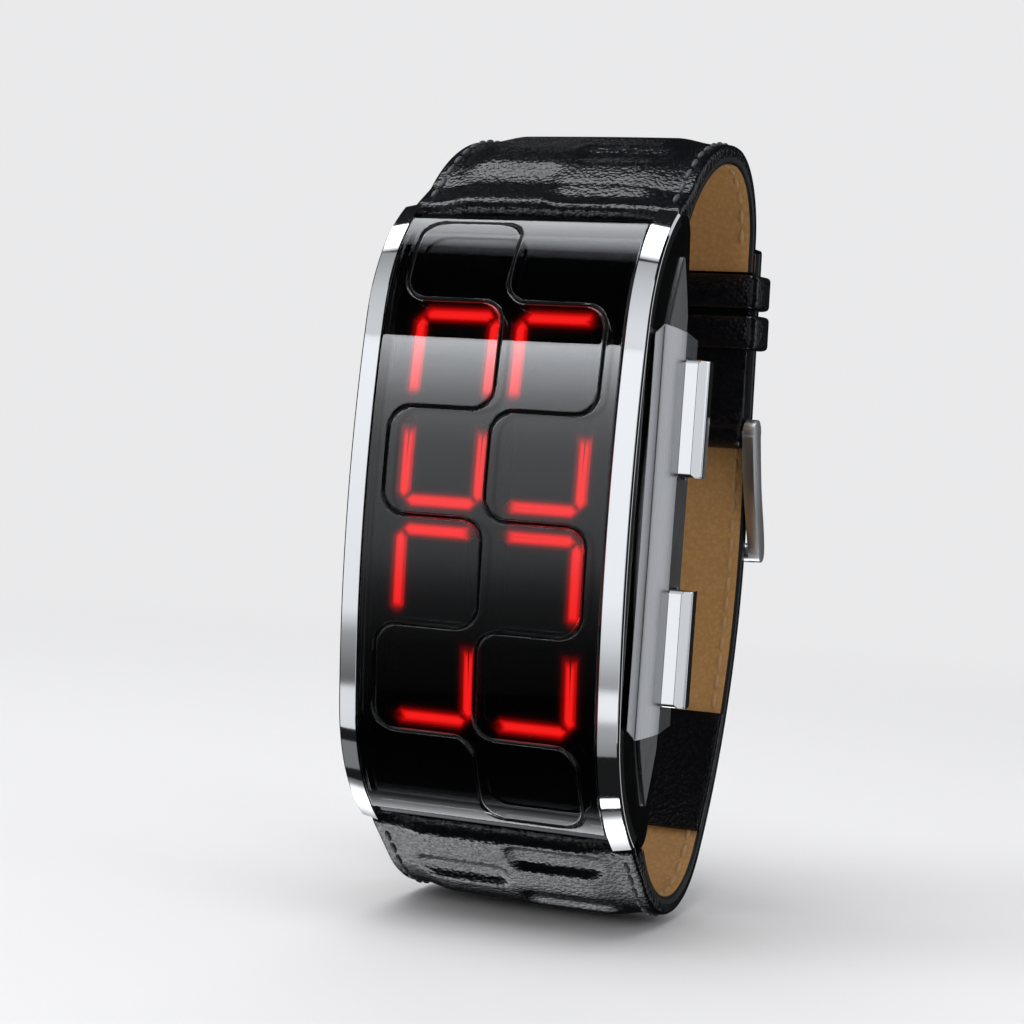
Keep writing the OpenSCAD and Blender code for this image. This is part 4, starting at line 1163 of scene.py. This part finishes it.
def pin_at_buckle(name, radius, out0, out1, up, stretch=0.0):
    """A round or slotted tool that points outwards through the strap's tail."""
    rings = []
    for out in (out0, out1):
        ring = []
        for k in range(32):
            turn = 2 * math.pi * (k + 0.5) / 32
            lift = math.copysign(stretch, math.sin(turn)) + radius * math.sin(turn)
            ring.append(at_buckle(radius * math.cos(turn), out, up + lift))
        rings.append(ring)
    return new_piece(name, *sweep(rings), POLISHED_STEEL)


def punch(piece):
    """Two spare round holes and the tongue's slotted one, through the tail."""
    for number in (1, 2):
        pin = pin_at_buckle("spare_hole", SPARE_R, 1.2, 6, number * HOLE_PITCH - HOLE_DROP)
        cut(piece, pin, SOFT_ANGLE)
    pin = pin_at_buckle("tongue_way", SLOT_HALF, 0.5, 6, -HOLE_DROP, SLOT_HALF)
    cut(piece, pin, SOFT_ANGLE)


short_line = UPPER.shorter(SHORT_LEN - TURN_IN + 1.32)
up_length = up_r * (up_start - math.pi / 2)
UPPER_FADE = (up_length + 1.0, up_length + 5.6)
upper_leather = leather_piece("upper_strap_black", short_line, turned_end, UPPER_FADE,
                              UPPER_FIELDS, BLACK_LEATHER)
for spot in (BAR_AT, BUCKLE_AT):
    cut(upper_leather, rod("bar_hole", spot, BAR_R, -TOOL_HALF, TOOL_HALF), SOFT_ANGLE)
slot = [(-SLOT_HALF, -3), (SLOT_HALF, -3), (SLOT_HALF, 3), (-SLOT_HALF, 3)]
cut(upper_leather, extrude("tongue_slot", slot, (-3, SLOT_TOP),
                           lambda up, x, out: at_buckle(x, out, up), POLISHED_STEEL), SOFT_ANGLE)
assign(upper_leather, "watch", "black_leather", "upper_strap_leather")


def tail_top(x):
    """Height of the rounded tail tip over the buckle's bar."""
    return SHORT_LEN + TAIL_OVER - (TAIL_R - math.sqrt(TAIL_R ** 2 - x ** 2))


def tail_end(x):
    """Far end of the long half, with its rounded tip."""
    out = TAIL_OFF - SHORT_T / 2
    outer = out + SKIN - 0.1 - edge_round(x, STRAP_HALF, OUTER_EDGE_R)
    top = tail_top(x)
    return [at_buckle(x, outer, top - 0.35), at_buckle(x, outer - 0.12, top - 0.1),
            at_buckle(x, outer - 0.4, top), at_buckle(x, out + LINING_T, top)]


long_line = LOWER.shorter(TAIL_OVER - back_s - 2.3)
down_length = down_r * (1.5 * math.pi - down_start)
LOWER_FADE = (down_length + 1.0, down_length + 6.0)
lower_leather = leather_piece("lower_strap_black", long_line, tail_end, LOWER_FADE,
                              LOWER_FIELDS, BLACK_LEATHER)
cut(lower_leather, rod("bar_hole", BAR_AT * (1, -1), BAR_R, -TOOL_HALF, TOOL_HALF), SOFT_ANGLE)
punch(lower_leather)
assign(lower_leather, "watch", "black_leather", "lower_strap_leather")


def lining_piece(name, line, s0, s1):
    """Tan lining, glued under the black leather, with rounded sides that are painted dark."""
    def spot_at(x, s, offset):
        spot, out = line.at(s)
        return put(x * strap_width(s) / STRAP_HALF, spot + offset * out)

    us = strip_columns((0, 0.08, 0.3, 1.3, 1.9), 10, 9)
    vs = np.arange(s0, s1, 0.6)
    points, faces = slab(us, vs,
                         lambda x, s: spot_at(x, s, edge_round(x, STRAP_HALF, LINING_EDGE_R)),
                         lambda x, s: spot_at(x, s, LINING_T - 0.02))
    lining = new_piece(name, points, faces, TAN_LEATHER, smooth=SOFT_ANGLE)
    lining.data.materials.append(EDGE_PAINT)
    for side in lining.data.polygons:
        if abs(side.center.x) > (STRAP_HALF - PAINTED_W) * MM:
            side.material_index = 1
    return lining


lining_end = UPPER.bend + SHORT_LEN - TURN_IN - 0.03
upper_lining = lining_piece("upper_strap_tan", UPPER, 2.56, lining_end)
assign(upper_lining, "watch", "tan_leather", "upper_strap_lining")
lower_lining = lining_piece("lower_strap_tan", LOWER, 2.2, LOWER.total - 2.1)
punch(lower_lining)
assign(lower_lining, "watch", "tan_leather", "lower_strap_lining")

# Dark strip: a short, thin strip of black leather over the full width of the strap, laid on
# the long half's lining, low at the back.
DARK_STRIP_T = 0.45
DARK_STRIP_FROM = 17.8
dark_strip_start = BEND_END + math.radians(2.1)
dark_strip_end = -math.asin((DARK_STRIP_FROM + back_c[1]) / BACK_R)


def dark_strip_at(x, turn, inwards):
    radius = BACK_R - 0.05 - inwards
    return put(x, back_c + radius * np.array([math.cos(turn), math.sin(turn)]))


points, faces = slab(strip_columns((0, 0.08, 0.3), 11.5, 9), np.linspace(dark_strip_start, dark_strip_end, 24),
                     lambda x, t: dark_strip_at(x, t, DARK_STRIP_T - edge_round(x, STRAP_HALF, 0.25)),
                     lambda x, t: dark_strip_at(x, t, 0))
# This black strip covers the tan lining over this stretch, so the lining shows dark there.
dark_strip = new_piece("lower_dark_strip", points, faces, BLACK_LEATHER, smooth=SOFT_ANGLE)
assign(dark_strip, "watch", "black_leather", "lower_inner_panel")

# Stitching: waxed thread in two rows along each strap half, sewn after the lining is glued.
# It shows black on the outside and tan on the inside.
STITCH_PITCH = 1.95
STITCH_LEN = 1.6
THREAD_W = 0.5
STITCH_X = 11.4
SEAM_START = 3.2
SEAM_END = LOWER.total - 3.4


def stitch_tree():
    """Lays one flattened bead of thread at every pitch along a line."""
    tree = bpy.data.node_groups.new("stitch_row", "GeometryNodeTree")
    add = tree.interface.new_socket
    add(name="Line", in_out="INPUT", socket_type="NodeSocketGeometry")
    sizes = (("Pitch", STITCH_PITCH), ("Stitch length", STITCH_LEN), ("Thread width", THREAD_W))
    for label, value in sizes:
        add(name=label, in_out="INPUT", socket_type="NodeSocketFloat").default_value = value * MM
    add(name="Thread", in_out="INPUT", socket_type="NodeSocketMaterial")
    add(name="Stitches", in_out="OUTPUT", socket_type="NodeSocketGeometry")
    enter = tree.nodes.new("NodeGroupInput")
    leave = tree.nodes.new("NodeGroupOutput")
    curve = add_node(tree, "GeometryNodeMeshToCurve", {"Mesh": enter.outputs["Line"]})
    inputs = {"Curve": curve.outputs["Curve"], "Length": enter.outputs["Pitch"]}
    spots = add_node(tree, "GeometryNodeCurveToPoints", inputs, mode="LENGTH")
    inputs = {"Segments": 10, "Rings": 8, "Radius": 0.5}
    bead = add_node(tree, "GeometryNodeMeshUVSphere", inputs)
    width = enter.outputs["Thread width"]
    inputs = {"X": width, "Y": width, "Z": enter.outputs["Stitch length"]}
    size = add_node(tree, "ShaderNodeCombineXYZ", inputs)
    inputs = {"Points": spots.outputs["Points"], "Instance": bead.outputs["Mesh"],
              "Rotation": spots.outputs["Rotation"], "Scale": size.outputs["Vector"]}
    lay = add_node(tree, "GeometryNodeInstanceOnPoints", inputs)
    real = add_node(tree, "GeometryNodeRealizeInstances", {"Geometry": lay.outputs["Instances"]})
    inputs = {"Geometry": real.outputs["Geometry"], "Material": enter.outputs["Thread"]}
    dress = add_node(tree, "GeometryNodeSetMaterial", inputs)
    tree.links.new(dress.outputs["Geometry"], leave.inputs["Stitches"])
    return tree


STITCH_ROW = stitch_tree()


def stitches(name, lines, thread):
    """One mesh of stitches along several lines of points."""
    points, edges = [], []
    for line in lines:
        edges += [(len(points) + k, len(points) + k + 1) for k in range(len(line) - 1)]
        points += line
    piece = mesh_object(name, points, edges, [])
    rows = piece.modifiers.new("rows", "NODES")
    rows.node_group = STITCH_ROW
    sockets = {item.name: item.identifier for item in STITCH_ROW.interface.items_tree}
    rows[sockets["Pitch"]] = STITCH_PITCH * MM
    rows[sockets["Stitch length"]] = STITCH_LEN * MM
    rows[sockets["Thread width"]] = THREAD_W * MM
    rows[sockets["Thread"]] = thread
    settle(piece, 60)
    return piece


def seam(line, inside, end):
    """Two lines of points for the stitches, on the inside or on the outside of the strap."""
    rows = []
    for x in (-STITCH_X, STITCH_X):
        row = []
        for s in np.arange(SEAM_START, end, 0.4):
            spot, out = line.at(s)
            spot = spot + 0.05 * out if inside else line.over(s, 0)
            row.append(put(x, spot))
        rows.append(row)
    return rows


BLACK_THREAD = dusted("black_thread", (0.045, 0.048, 0.056), 0.5, 0.12, 0.03)
TAN_THREAD = dusted("tan_thread", (0.40, 0.235, 0.10), 0.6, 0.12, 0.03)
outer_rows = seam(UPPER, False, UPPER.bend + 0.2) + seam(LOWER, False, SEAM_END)
outer_stitches = stitches("strap_stitches_black", outer_rows, BLACK_THREAD)
assign(outer_stitches, "watch", "black_leather")
inner_rows = seam(UPPER, True, UPPER.bend - 0.6) + seam(LOWER, True, SEAM_END)
inner_stitches = stitches("strap_stitches_tan", inner_rows, TAN_THREAD)
assign(inner_stitches, "watch", "tan_leather")

# Keepers: two loops of black leather round both layers of the strap. The upper one is sewn
# to the short half, and the lower one slides.
KEEPER_T = 0.8
KEEPER_LEN = 3.4
FREE_TOP = KEEPER_TOP - KEEPER_LEN - 0.5
TAIL_OUT = TAIL_OFF - SHORT_T / 2 + SKIN - 0.1


def corner_loop(half_x, out0, out1, radius):
    """Outline of a loop round the strap, with rounded corners, across and outwards."""
    spots = []
    corners = [(half_x, out1, 0), (-half_x, out1, 90), (-half_x, out0, 180), (half_x, out0, 270)]
    for x, out, turn in corners:
        cx = x - math.copysign(radius, x)
        cy = out - radius if out == out1 else out + radius
        for k in range(7):
            a = math.radians(turn + 90 * k / 6)
            spots.append((cx + radius * math.cos(a), cy + radius * math.sin(a)))
    return spots


def keeper(name, top, gap):
    half = STRAP_HALF + gap
    rings = []
    steps = [(0, 0.2), (0.06, 0.5), (0.2, 0.72), (0.45, KEEPER_T), (0.5 * KEEPER_LEN, KEEPER_T)]
    profile = steps + [(KEEPER_LEN - up, thick) for up, thick in steps[-2::-1]]
    profile += [(KEEPER_LEN - 0.05, 0.02), (0.05, 0.02)]
    for up, thick in profile:
        loop = corner_loop(half + thick, -SHORT_T / 2 - gap - thick, TAIL_OUT + gap + thick,
                           0.12 + thick)
        rings.append([at_buckle(x, out, top - KEEPER_LEN + up) for x, out in loop])
    return new_piece(name, *sweep(rings, closed=True), BLACK_LEATHER, smooth=SOFT_ANGLE)


fixed_keeper = keeper("fixed_keeper_leather", KEEPER_TOP, 0.1)
assign(fixed_keeper, "watch", "black_leather", "fixed_keeper")
free_keeper = keeper("free_keeper_leather", FREE_TOP, 0.15)
assign(free_keeper, "loose_keeper", "black_leather", "free_keeper")

# Buckle: a polished steel frame cast in one piece, with a bent tongue that turns on the same
# spring bar and rests on the frame's cross bar.
BUCKLE_STEEL = polished("buckle_steel", (0.66, 0.665, 0.675), 0.36, 0.08, 0.2)
ARM_X = STRAP_HALF + 0.25
ARM_T = 1.1
EYE_R = 1.5
CROSS_R = 0.95
CROSS_OUT = TAIL_OUT + CROSS_R + 0.2
BUCKLE_LEN = 11.9
TONGUE_W = 2.0
ARM_OUTLINE = [(1.5, -0.4), (2.9, -5.2), (CROSS_OUT + 0.35, -BUCKLE_LEN + 2.2),
               (CROSS_OUT + 0.95, -BUCKLE_LEN + 0.2), (CROSS_OUT + 0.6, -BUCKLE_LEN - 0.7),
               (CROSS_OUT - 0.5, -BUCKLE_LEN - 0.8), (CROSS_OUT - 1.3, -BUCKLE_LEN + 0.2),
               (0.3, -6.0), (-0.9, -2.6), (-1.5, -0.4)]


def smooth_loop(corners, steps=4):
    """A closed curve through the corners."""
    spots = []
    count = len(corners)
    for i in range(count):
        p0, p1, p2, p3 = [np.array(corners[(i + k) % count]) for k in (-1, 0, 1, 2)]
        for k in range(steps):
            t = k / steps
            spots.append(0.5 * (2 * p1 + (p2 - p0) * t + (2 * p0 - 5 * p1 + 4 * p2 - p3) * t ** 2
                                + (3 * p1 - p0 - 3 * p2 + p3) * t ** 3))
    return spots


def arm_loop():
    eye = [(EYE_R * math.cos(t), EYE_R * math.sin(t)) for t in np.linspace(math.pi, 0, 9)]
    return smooth_loop(eye + ARM_OUTLINE)


pieces = []
for side in (-1, 1):
    arm = extrude("buckle_arm", arm_loop(), (ARM_X, ARM_X + ARM_T),
                  lambda x, out, up: at_buckle(side * x, out, up), BUCKLE_STEEL)
    bevel(arm, 0.28, segments=3, angle=40)
    pieces.append(arm)
cross_end = [(12.4, 1.0), (13.1, 0.98), (13.4, 0.9), (13.6, 0.7), (13.7, 0.35)]
cross_profile = [(-x, CROSS_R * share) for x, share in cross_end[::-1]] + \
    [(x, CROSS_R * share) for x, share in cross_end]
pieces.append(round_bar("buckle_cross", cross_profile,
                        lambda x, a, b: at_buckle(x, CROSS_OUT + a, b - BUCKLE_LEN),
                        BUCKLE_STEEL, 28))
whole = bmesh.new()
for part in pieces:
    whole.from_mesh(part.data)
buckle = pieces[0]
whole.to_mesh(buckle.data)
whole.free()
for part in pieces[1:]:
    bpy.data.objects.remove(part)
buckle.name = "buckle_frame_polished"
soften(buckle, 40)
assign(buckle, "buckle", "polished_steel", "buckle_frame")

TONGUE_REST = CROSS_OUT + CROSS_R + 0.15
TONGUE_OUTLINE = [(0.0, -1.35), (0.9, -2.1), (TAIL_OUT + 0.1, -3.4), (TONGUE_REST, -BUCKLE_LEN + 2),
                  (TONGUE_REST, -BUCKLE_LEN), (TONGUE_REST + 0.05, -BUCKLE_LEN - 1.3),
                  (TONGUE_REST + 0.6, -BUCKLE_LEN - 1.4), (TONGUE_REST + 1, -BUCKLE_LEN - 0.6),
                  (TONGUE_REST + 1, -BUCKLE_LEN + 1.4), (TAIL_OUT + 1.4, -4.0),
                  (TAIL_OUT + 0.7, -2.4), (1.35, 0.0), (0.95, 0.95), (0.0, 1.35), (-0.95, 0.95),
                  (-1.35, 0.0), (-0.95, -0.95)]
tongue = extrude("buckle_tongue_polished", smooth_loop(TONGUE_OUTLINE),
                 (-TONGUE_W / 2, TONGUE_W / 2), at_buckle, BUCKLE_STEEL)
bevel(tongue, 0.25, segments=3, angle=40)
cut(tongue, rod("ring_hole", BUCKLE_AT, BAR_R, -3, 3), 40)
assign(tongue, "tongue", "polished_steel", "buckle_tongue")

# Studio: a pale floor and a pale surround, soft lamps, and cards that only reflections see: a
# dark dome behind everything, and bright cards for the rails, crystal, leather and guard bar.
FLOOR_Z = -LOOP_DOWN - SKIN - PAD_T - 0.1
PALE = (0.80, 0.80, 0.81)
SURROUND = (0.82, 0.82, 0.83)
FILL = (0.40, 0.40, 0.41)
CARD_DISTANCE = 0.60


def fading_floor():
    """Pale floor whose far part takes the surround's own brightness, so no horizon shows."""
    material, tree, shader = new_material("pale_floor", PALE, 0.0, 0.9)
    shader.inputs["Specular IOR Level"].default_value = 0.2
    away = add_node(tree, "ShaderNodeVectorMath", {0: object_spot(tree)}, operation="LENGTH")
    inputs = {"Value": away.outputs["Value"], "From Min": 0.07, "From Max": 0.45}
    fade = add_node(tree, "ShaderNodeMapRange", inputs, interpolation_type="SMOOTHSTEP")
    far = add_node(tree, "ShaderNodeEmission", {"Color": (*SURROUND, 1)})
    mix = add_node(tree, "ShaderNodeMixShader", {"Fac": fade.outputs["Result"],
                                                 1: shader.outputs["BSDF"],
                                                 2: far.outputs["Emission"]})
    tree.links.new(mix.outputs["Shader"], tree.nodes["Material Output"].inputs["Surface"])
    return material


floor_z = FLOOR_Z * MM
floor_corners = [(-3, -3, floor_z), (3, -3, floor_z), (3, 3, floor_z), (-3, 3, floor_z)]
floor = mesh_object("floor", floor_corners, [], [(0, 1, 2, 3)])
floor.data.materials.append(fading_floor())
floor.visible_glossy = False
floor.visible_transmission = False


def direction(azimuth, elevation):
    a, e = math.radians(azimuth), math.radians(elevation)
    return Vector((math.sin(a) * math.cos(e), -math.cos(a) * math.cos(e), math.sin(e)))


def glow_card(name, stops):
    """Light of a card from its lower to its upper edge, as pairs of place and brightness."""
    material = bpy.data.materials.new(name)
    material.use_nodes = True
    tree = material.node_tree
    tree.nodes.clear()
    peak = max(value for at, value in stops)
    cool = np.array((0.94, 0.965, 1.0))
    sheet = add_node(tree, "ShaderNodeUVMap")
    split = add_node(tree, "ShaderNodeSeparateXYZ", {"Vector": sheet.outputs["UV"]})
    color = ramp_node(tree, split.outputs["Y"], [(at, cool * value / peak) for at, value in stops])
    path = add_node(tree, "ShaderNodeLightPath")
    straight = math_node(tree, "LESS_THAN", path.outputs["Diffuse Depth"], 0.5)
    strength = math_node(tree, "MULTIPLY", straight, peak)
    light = add_node(tree, "ShaderNodeEmission", {"Color": color, "Strength": strength})
    add_node(tree, "ShaderNodeOutputMaterial", {"Surface": light.outputs["Emission"]})
    return material


def grid_card(name, spot_at, stops):
    """A card over a grid of points, seen by reflections alone."""
    count = 9
    points, faces, uvs = [], [], []
    for j in range(count):
        points += [spot_at(i / (count - 1), j / (count - 1)) for i in range(count)]
    for j in range(count - 1):
        for i in range(count - 1):
            a = j * count + i
            corners = (a, a + 1, a + count + 1, a + count)
            faces.append(corners)
            uvs += [(k % count / (count - 1), k // count / (count - 1)) for k in corners]
    card = mesh_object(name, points, [], faces)
    layer = card.data.uv_layers.new(name="sheet")
    for loop, uv in zip(layer.data, uvs):
        loop.uv = uv
    card.data.materials.append(glow_card(name + "_light", stops))
    card.visible_camera = False
    card.visible_diffuse = False
    card.visible_shadow = False


def arc_card(name, azimuths, elevations, stops, lean=0.0, distance=CARD_DISTANCE):
    """A curved card round the watch, between two azimuths and two elevations.

    A lean makes its far side higher than its near one by that many degrees."""
    def spot_at(across, along):
        return direction(azimuths[0] + (azimuths[1] - azimuths[0]) * across,
                         elevations[0] + (elevations[1] - elevations[0]) * along
                         + lean * (across - 0.5)) * distance
    grid_card(name, spot_at, stops)


def strip_card(name, height, front, back, stops):
    """A level card at a height in metres, between two lines that run across the watch."""
    def spot_at(across, along):
        near = Vector((*front[0], 1)).lerp(Vector((*front[1], 1)), across)
        far = Vector((*back[0], 1)).lerp(Vector((*back[1], 1)), across)
        spot = near.lerp(far, along) * abs(height)
        return Vector((spot.x, spot.y, height))
    grid_card(name, spot_at, stops)


STRIP_FRONT = ((0.45, -0.55), (-1.3, -0.08))
STRIP_BACK = ((0.45, -0.02), (-1.3, 0.37))
UNDER_FRONT = ((0.45, -0.38), (-1.3, 0.13))
UNDER_BACK = ((0.45, 0.3), (-1.3, 1.2))
arc_card("dark_dome", (-180, 180), (-89.5, 89.5), ((0, 0.012), (1, 0.012)), distance=0.85)
arc_card("crystal_card", (-37, -9), (-20, 18.6),
         ((0, 0.03), (0.13, 0.06), (0.26, 0.19), (0.31, 0.33), (0.4, 0.75), (0.52, 1.0),
          (0.635, 1.2), (0.69, 1.3), (0.746, 1.65), (0.81, 2.2), (0.845, 2.9), (0.876, 3.8),
          (0.907, 4.8), (0.94, 6.0), (1, 9.0)), lean=3.2)
arc_card("left_rail_card", (-64, -42), (-31, 16.4),
         ((0, 0.8), (0.27, 0.85), (0.28, 0.1), (0.385, 0.35), (0.43, 0.9), (1, 1.05)))
arc_card("left_rail_top_card", (-95, -47), (16.5, 47), ((0, 0.7), (0.5, 0.6), (1, 0.35)))
arc_card("left_rail_low_card", (-90, -58), (-48, -37), ((0, 0.2), (1, 0.2)))
arc_card("right_rail_card", (-4, 14), (-37, 19.2),
         ((0, 0.25), (0.26, 0.4), (0.27, 1.0), (0.32, 1.0), (0.33, 0.3), (0.43, 0.8), (0.5, 1.0),
          (1, 1.05)))
arc_card("right_rail_top_card", (-4, 14), (19.3, 64), ((0, 0.84), (0.7, 0.6), (1, 0.45)))
arc_card("right_rail_low_card", (-4, 14), (-73, -66), ((0, 3.0), (1, 3.0)))
strip_card("overhead_card", 0.5, STRIP_FRONT, STRIP_BACK,
           ((0, 0.3), (0.25, 2.5), (0.5, 5.2), (0.93, 6.5), (1, 3.0)))
strip_card("under_card", -0.5, UNDER_FRONT, UNDER_BACK,
           ((0, 0.1), (0.087, 0.3), (0.216, 1.7), (0.43, 6.5), (0.5, 2.2), (0.6, 1.3), (0.8, 0.7),
            (1, 0.2)))
arc_card("back_top_card", (200, 212), (36.5, 38), ((0, 1.4), (1, 1.4)))
arc_card("side_card", (118, 150), (-30, 50), ((0, 0.75), (0.6, 0.85), (1, 0.6)))
arc_card("front_side_card", (30, 56), (-25, 45), ((0, 0.62), (1, 0.92)))


def softbox(name, azimuth, elevation, distance, width, height, radiance):
    """An area lamp aimed at the watch, with its power set from its brightness."""
    light = bpy.data.lights.new(name, "AREA")
    light.shape = "RECTANGLE"
    light.size = width
    light.size_y = height
    light.energy = radiance * math.pi * width * height
    lamp = add_object(name, light)
    spot = direction(azimuth, elevation)
    lamp.location = spot * distance
    lamp.rotation_euler = spot.to_track_quat("Z", "Y").to_euler()
    lamp.visible_camera = False
    lamp.visible_glossy = False
    lamp.visible_transmission = False


softbox("top_lamp", -20, 72, 0.7, 0.6, 0.6, 3.0)
softbox("front_left_lamp", -48, 25, 0.7, 0.35, 0.5, 2.0)
softbox("right_lamp", 75, 20, 0.7, 0.35, 0.5, 1.6)
softbox("back_lamp", 200, 35, 0.8, 0.5, 0.5, 1.4)

world = bpy.data.worlds.new("pale_studio")
bpy.context.scene.world = world
world.use_nodes = True
sky = world.node_tree
sky.nodes.clear()
rays = add_node(sky, "ShaderNodeLightPath").outputs
either = math_node(sky, "MAXIMUM", rays["Is Camera Ray"], rays["Is Glossy Ray"])
also = math_node(sky, "MAXIMUM", either, rays["Is Transmission Ray"])
fill = add_node(sky, "ShaderNodeBackground", {"Color": (*FILL, 1)})
seen = add_node(sky, "ShaderNodeBackground", {"Color": (*SURROUND, 1)})
blend = add_node(sky, "ShaderNodeMixShader", {"Fac": also, 1: fill.outputs["Background"],
                                              2: seen.outputs["Background"]})
add_node(sky, "ShaderNodeOutputWorld", {"Surface": blend.outputs["Shader"]})

# Camera: it stands in front of the watch and to its right, almost level with it, and is
# turned a little round its line of sight.
CAMERA_YAW = 20.665
CAMERA_RISE = 0.658
CAMERA_ROLL = math.radians(4.121)
CAMERA_DISTANCE = 178.0
AIM = (2.61, 0.0, 0.87)
LENS = 74.93
camera_data = bpy.data.cameras.new("photo_camera")
camera_data.lens = LENS
camera_data.sensor_width = 36
camera_data.clip_start = 0.01
camera = add_object("photo_camera", camera_data)
backwards = direction(CAMERA_YAW, CAMERA_RISE)
right = (-backwards).cross(Vector((0, 0, 1))).normalized()
up = right.cross(-backwards)
turned_right = math.cos(CAMERA_ROLL) * right + math.sin(CAMERA_ROLL) * up
turned_up = -math.sin(CAMERA_ROLL) * right + math.cos(CAMERA_ROLL) * up
where = place(*AIM) + backwards * CAMERA_DISTANCE * MM
pose = Matrix((turned_right, turned_up, backwards)).transposed().to_4x4()
pose.translation = where
camera.matrix_world = pose
bpy.context.scene.camera = camera
bpy.context.scene.view_settings.view_transform = "Standard"
